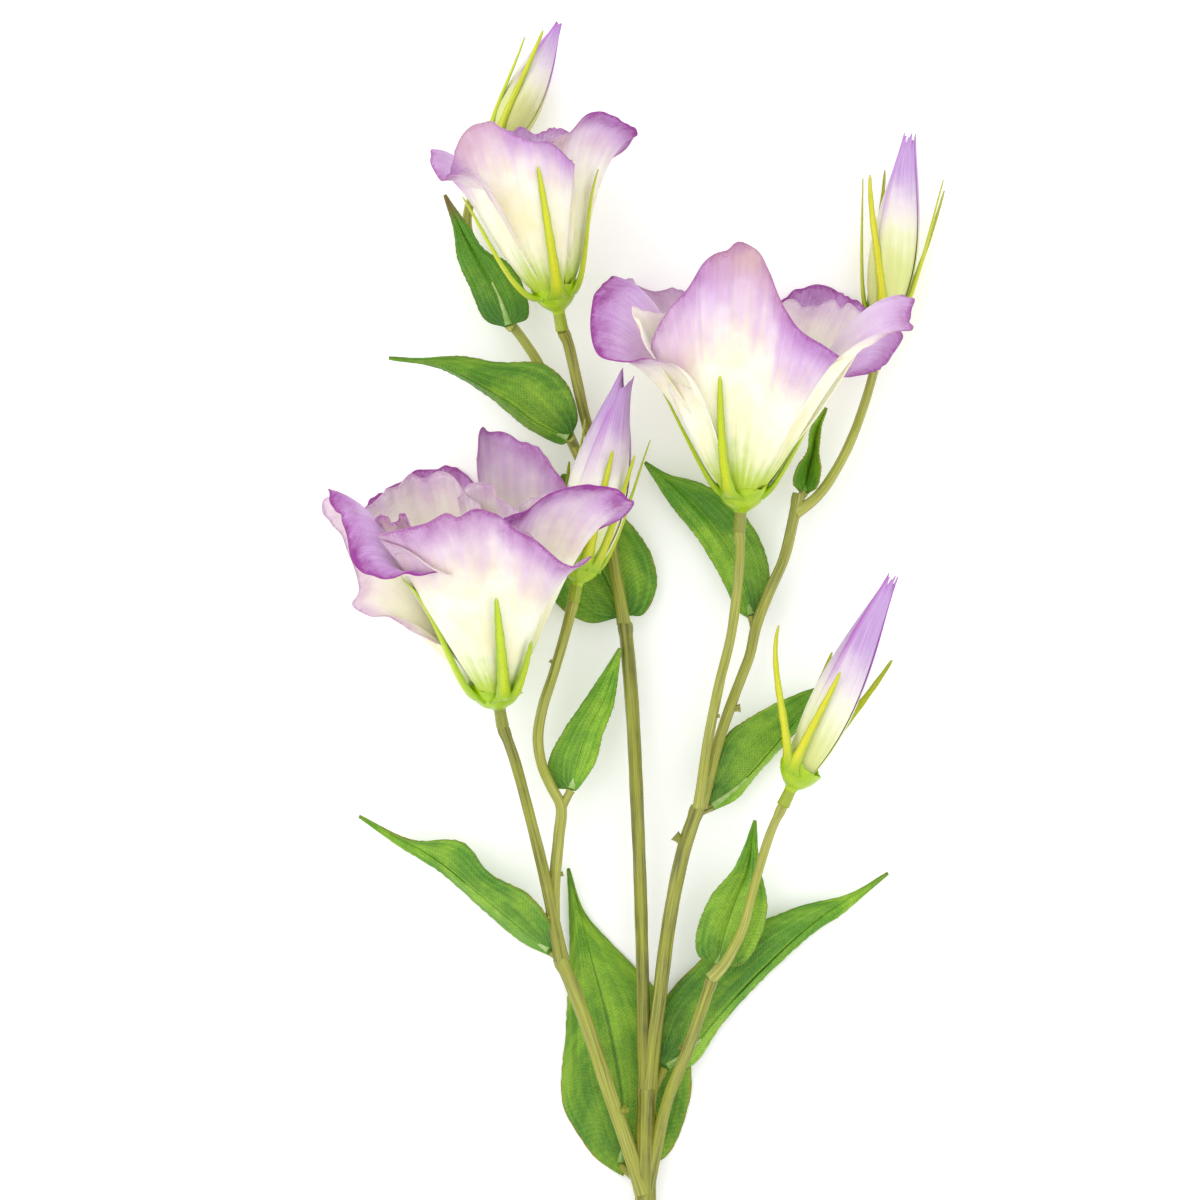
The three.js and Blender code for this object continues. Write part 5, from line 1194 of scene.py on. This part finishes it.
for name in BLOOMS:
    base, basis = head_frame(name)
    foot = base + basis[2] * CENTRE_FOOT
    parts = [turned(PISTIL_PROFILE, PISTIL_SIDES, foot, basis, matt_yellow)]
    for side in (-1, 1):
        lobe = through([foot + np.array((0, side * out, up)) @ basis for out, up in LOBE_ROUTE])
        plump = lambda share, angle: 0.9 + 0.55 * share * (1.4 - share)
        parts.append(tube(lobe, plump, LOBE_NET, matt_yellow))
    for stamen in range(STAMENS):
        turn = math.radians(36 + 360 * stamen / STAMENS)
        places = [foot + around_axis(out, turn, up) @ basis for out, up in STAMEN_ROUTE]
        anther = lambda share, angle: 0.42 + 0.62 * np.clip((share - 0.66) / 0.1, 0, 1) * (1 - 0.4 * share)
        parts.append(tube(through(places), anther, STAMEN_NET, matt_yellow))
    put_on(join(name + "_pistil_and_stamens", parts), name + "_centre")

# ----------------------------------------------------------------------
# The table that the spray lies on: a plain, pale, very large board, painted matt. The spray rests on it by
# its broadest leaf, the cut end of its stem and the lowest petals of two blooms.


def plain_floor():
    """A matt, nearly white finish with a faint glow, so that shadows on it stay pale."""
    material = new_material("plain pale surface")
    cloudy = noise(add(material.node_tree, "TexCoord", out=3), 3.0, 2.0, 0.5)
    return finish_material(material, blend(cloudy, "#fbfbfb", "#f7f7f7"), roughness=0.9,
                           specular_ior_level=0.1, emission_color=(1, 1, 1, 1), emission_strength=0.15)


bpy.ops.object.select_all(action="DESELECT")
bpy.ops.mesh.primitive_plane_add(size=30)
floor = bpy.context.object
floor.name = "floor"
floor.data.materials.append(plain_floor())

# ----------------------------------------------------------------------
# Light and camera: an even white surround and two wide soft lights, as for a picture in a catalogue. The
# camera looks straight down through a long lens, so that nothing is seen from its side.
CAMERA_OVER = (-9.8, 47.9)
FRAME_WIDTH = 336
LENS = 200
SENSOR = 36

scene = bpy.context.scene
scene.view_settings.view_transform = "Standard"
scene.world = bpy.data.worlds.new("white surround")
scene.world.use_nodes = True
scene.world.node_tree.nodes["Background"].inputs["Color"].default_value = (1, 1, 1, 1)
scene.world.node_tree.nodes["Background"].inputs["Strength"].default_value = 1.0
for label, place, turn, size, watts in (
    ("left soft light", (-0.9, 0.5, 1.1), (0, -40, -20), 1.6, 8),
    ("right soft light", (1.0, -0.4, 1.3), (0, 40, -20), 1.6, 5),
):
    bpy.ops.object.light_add(type="AREA", location=place, rotation=[math.radians(a) for a in turn])
    light = bpy.context.object
    light.name = label
    light.data.size = size
    light.data.energy = watts

distance = FRAME_WIDTH * LENS / SENSOR
bpy.ops.object.camera_add(location=[c * MM for c in (*CAMERA_OVER, distance)], rotation=(0, 0, 0))
camera = bpy.context.object
camera.name = "camera"
camera.data.lens = LENS
camera.data.sensor_width = SENSOR
camera.data.clip_end = 100
scene.camera = camera
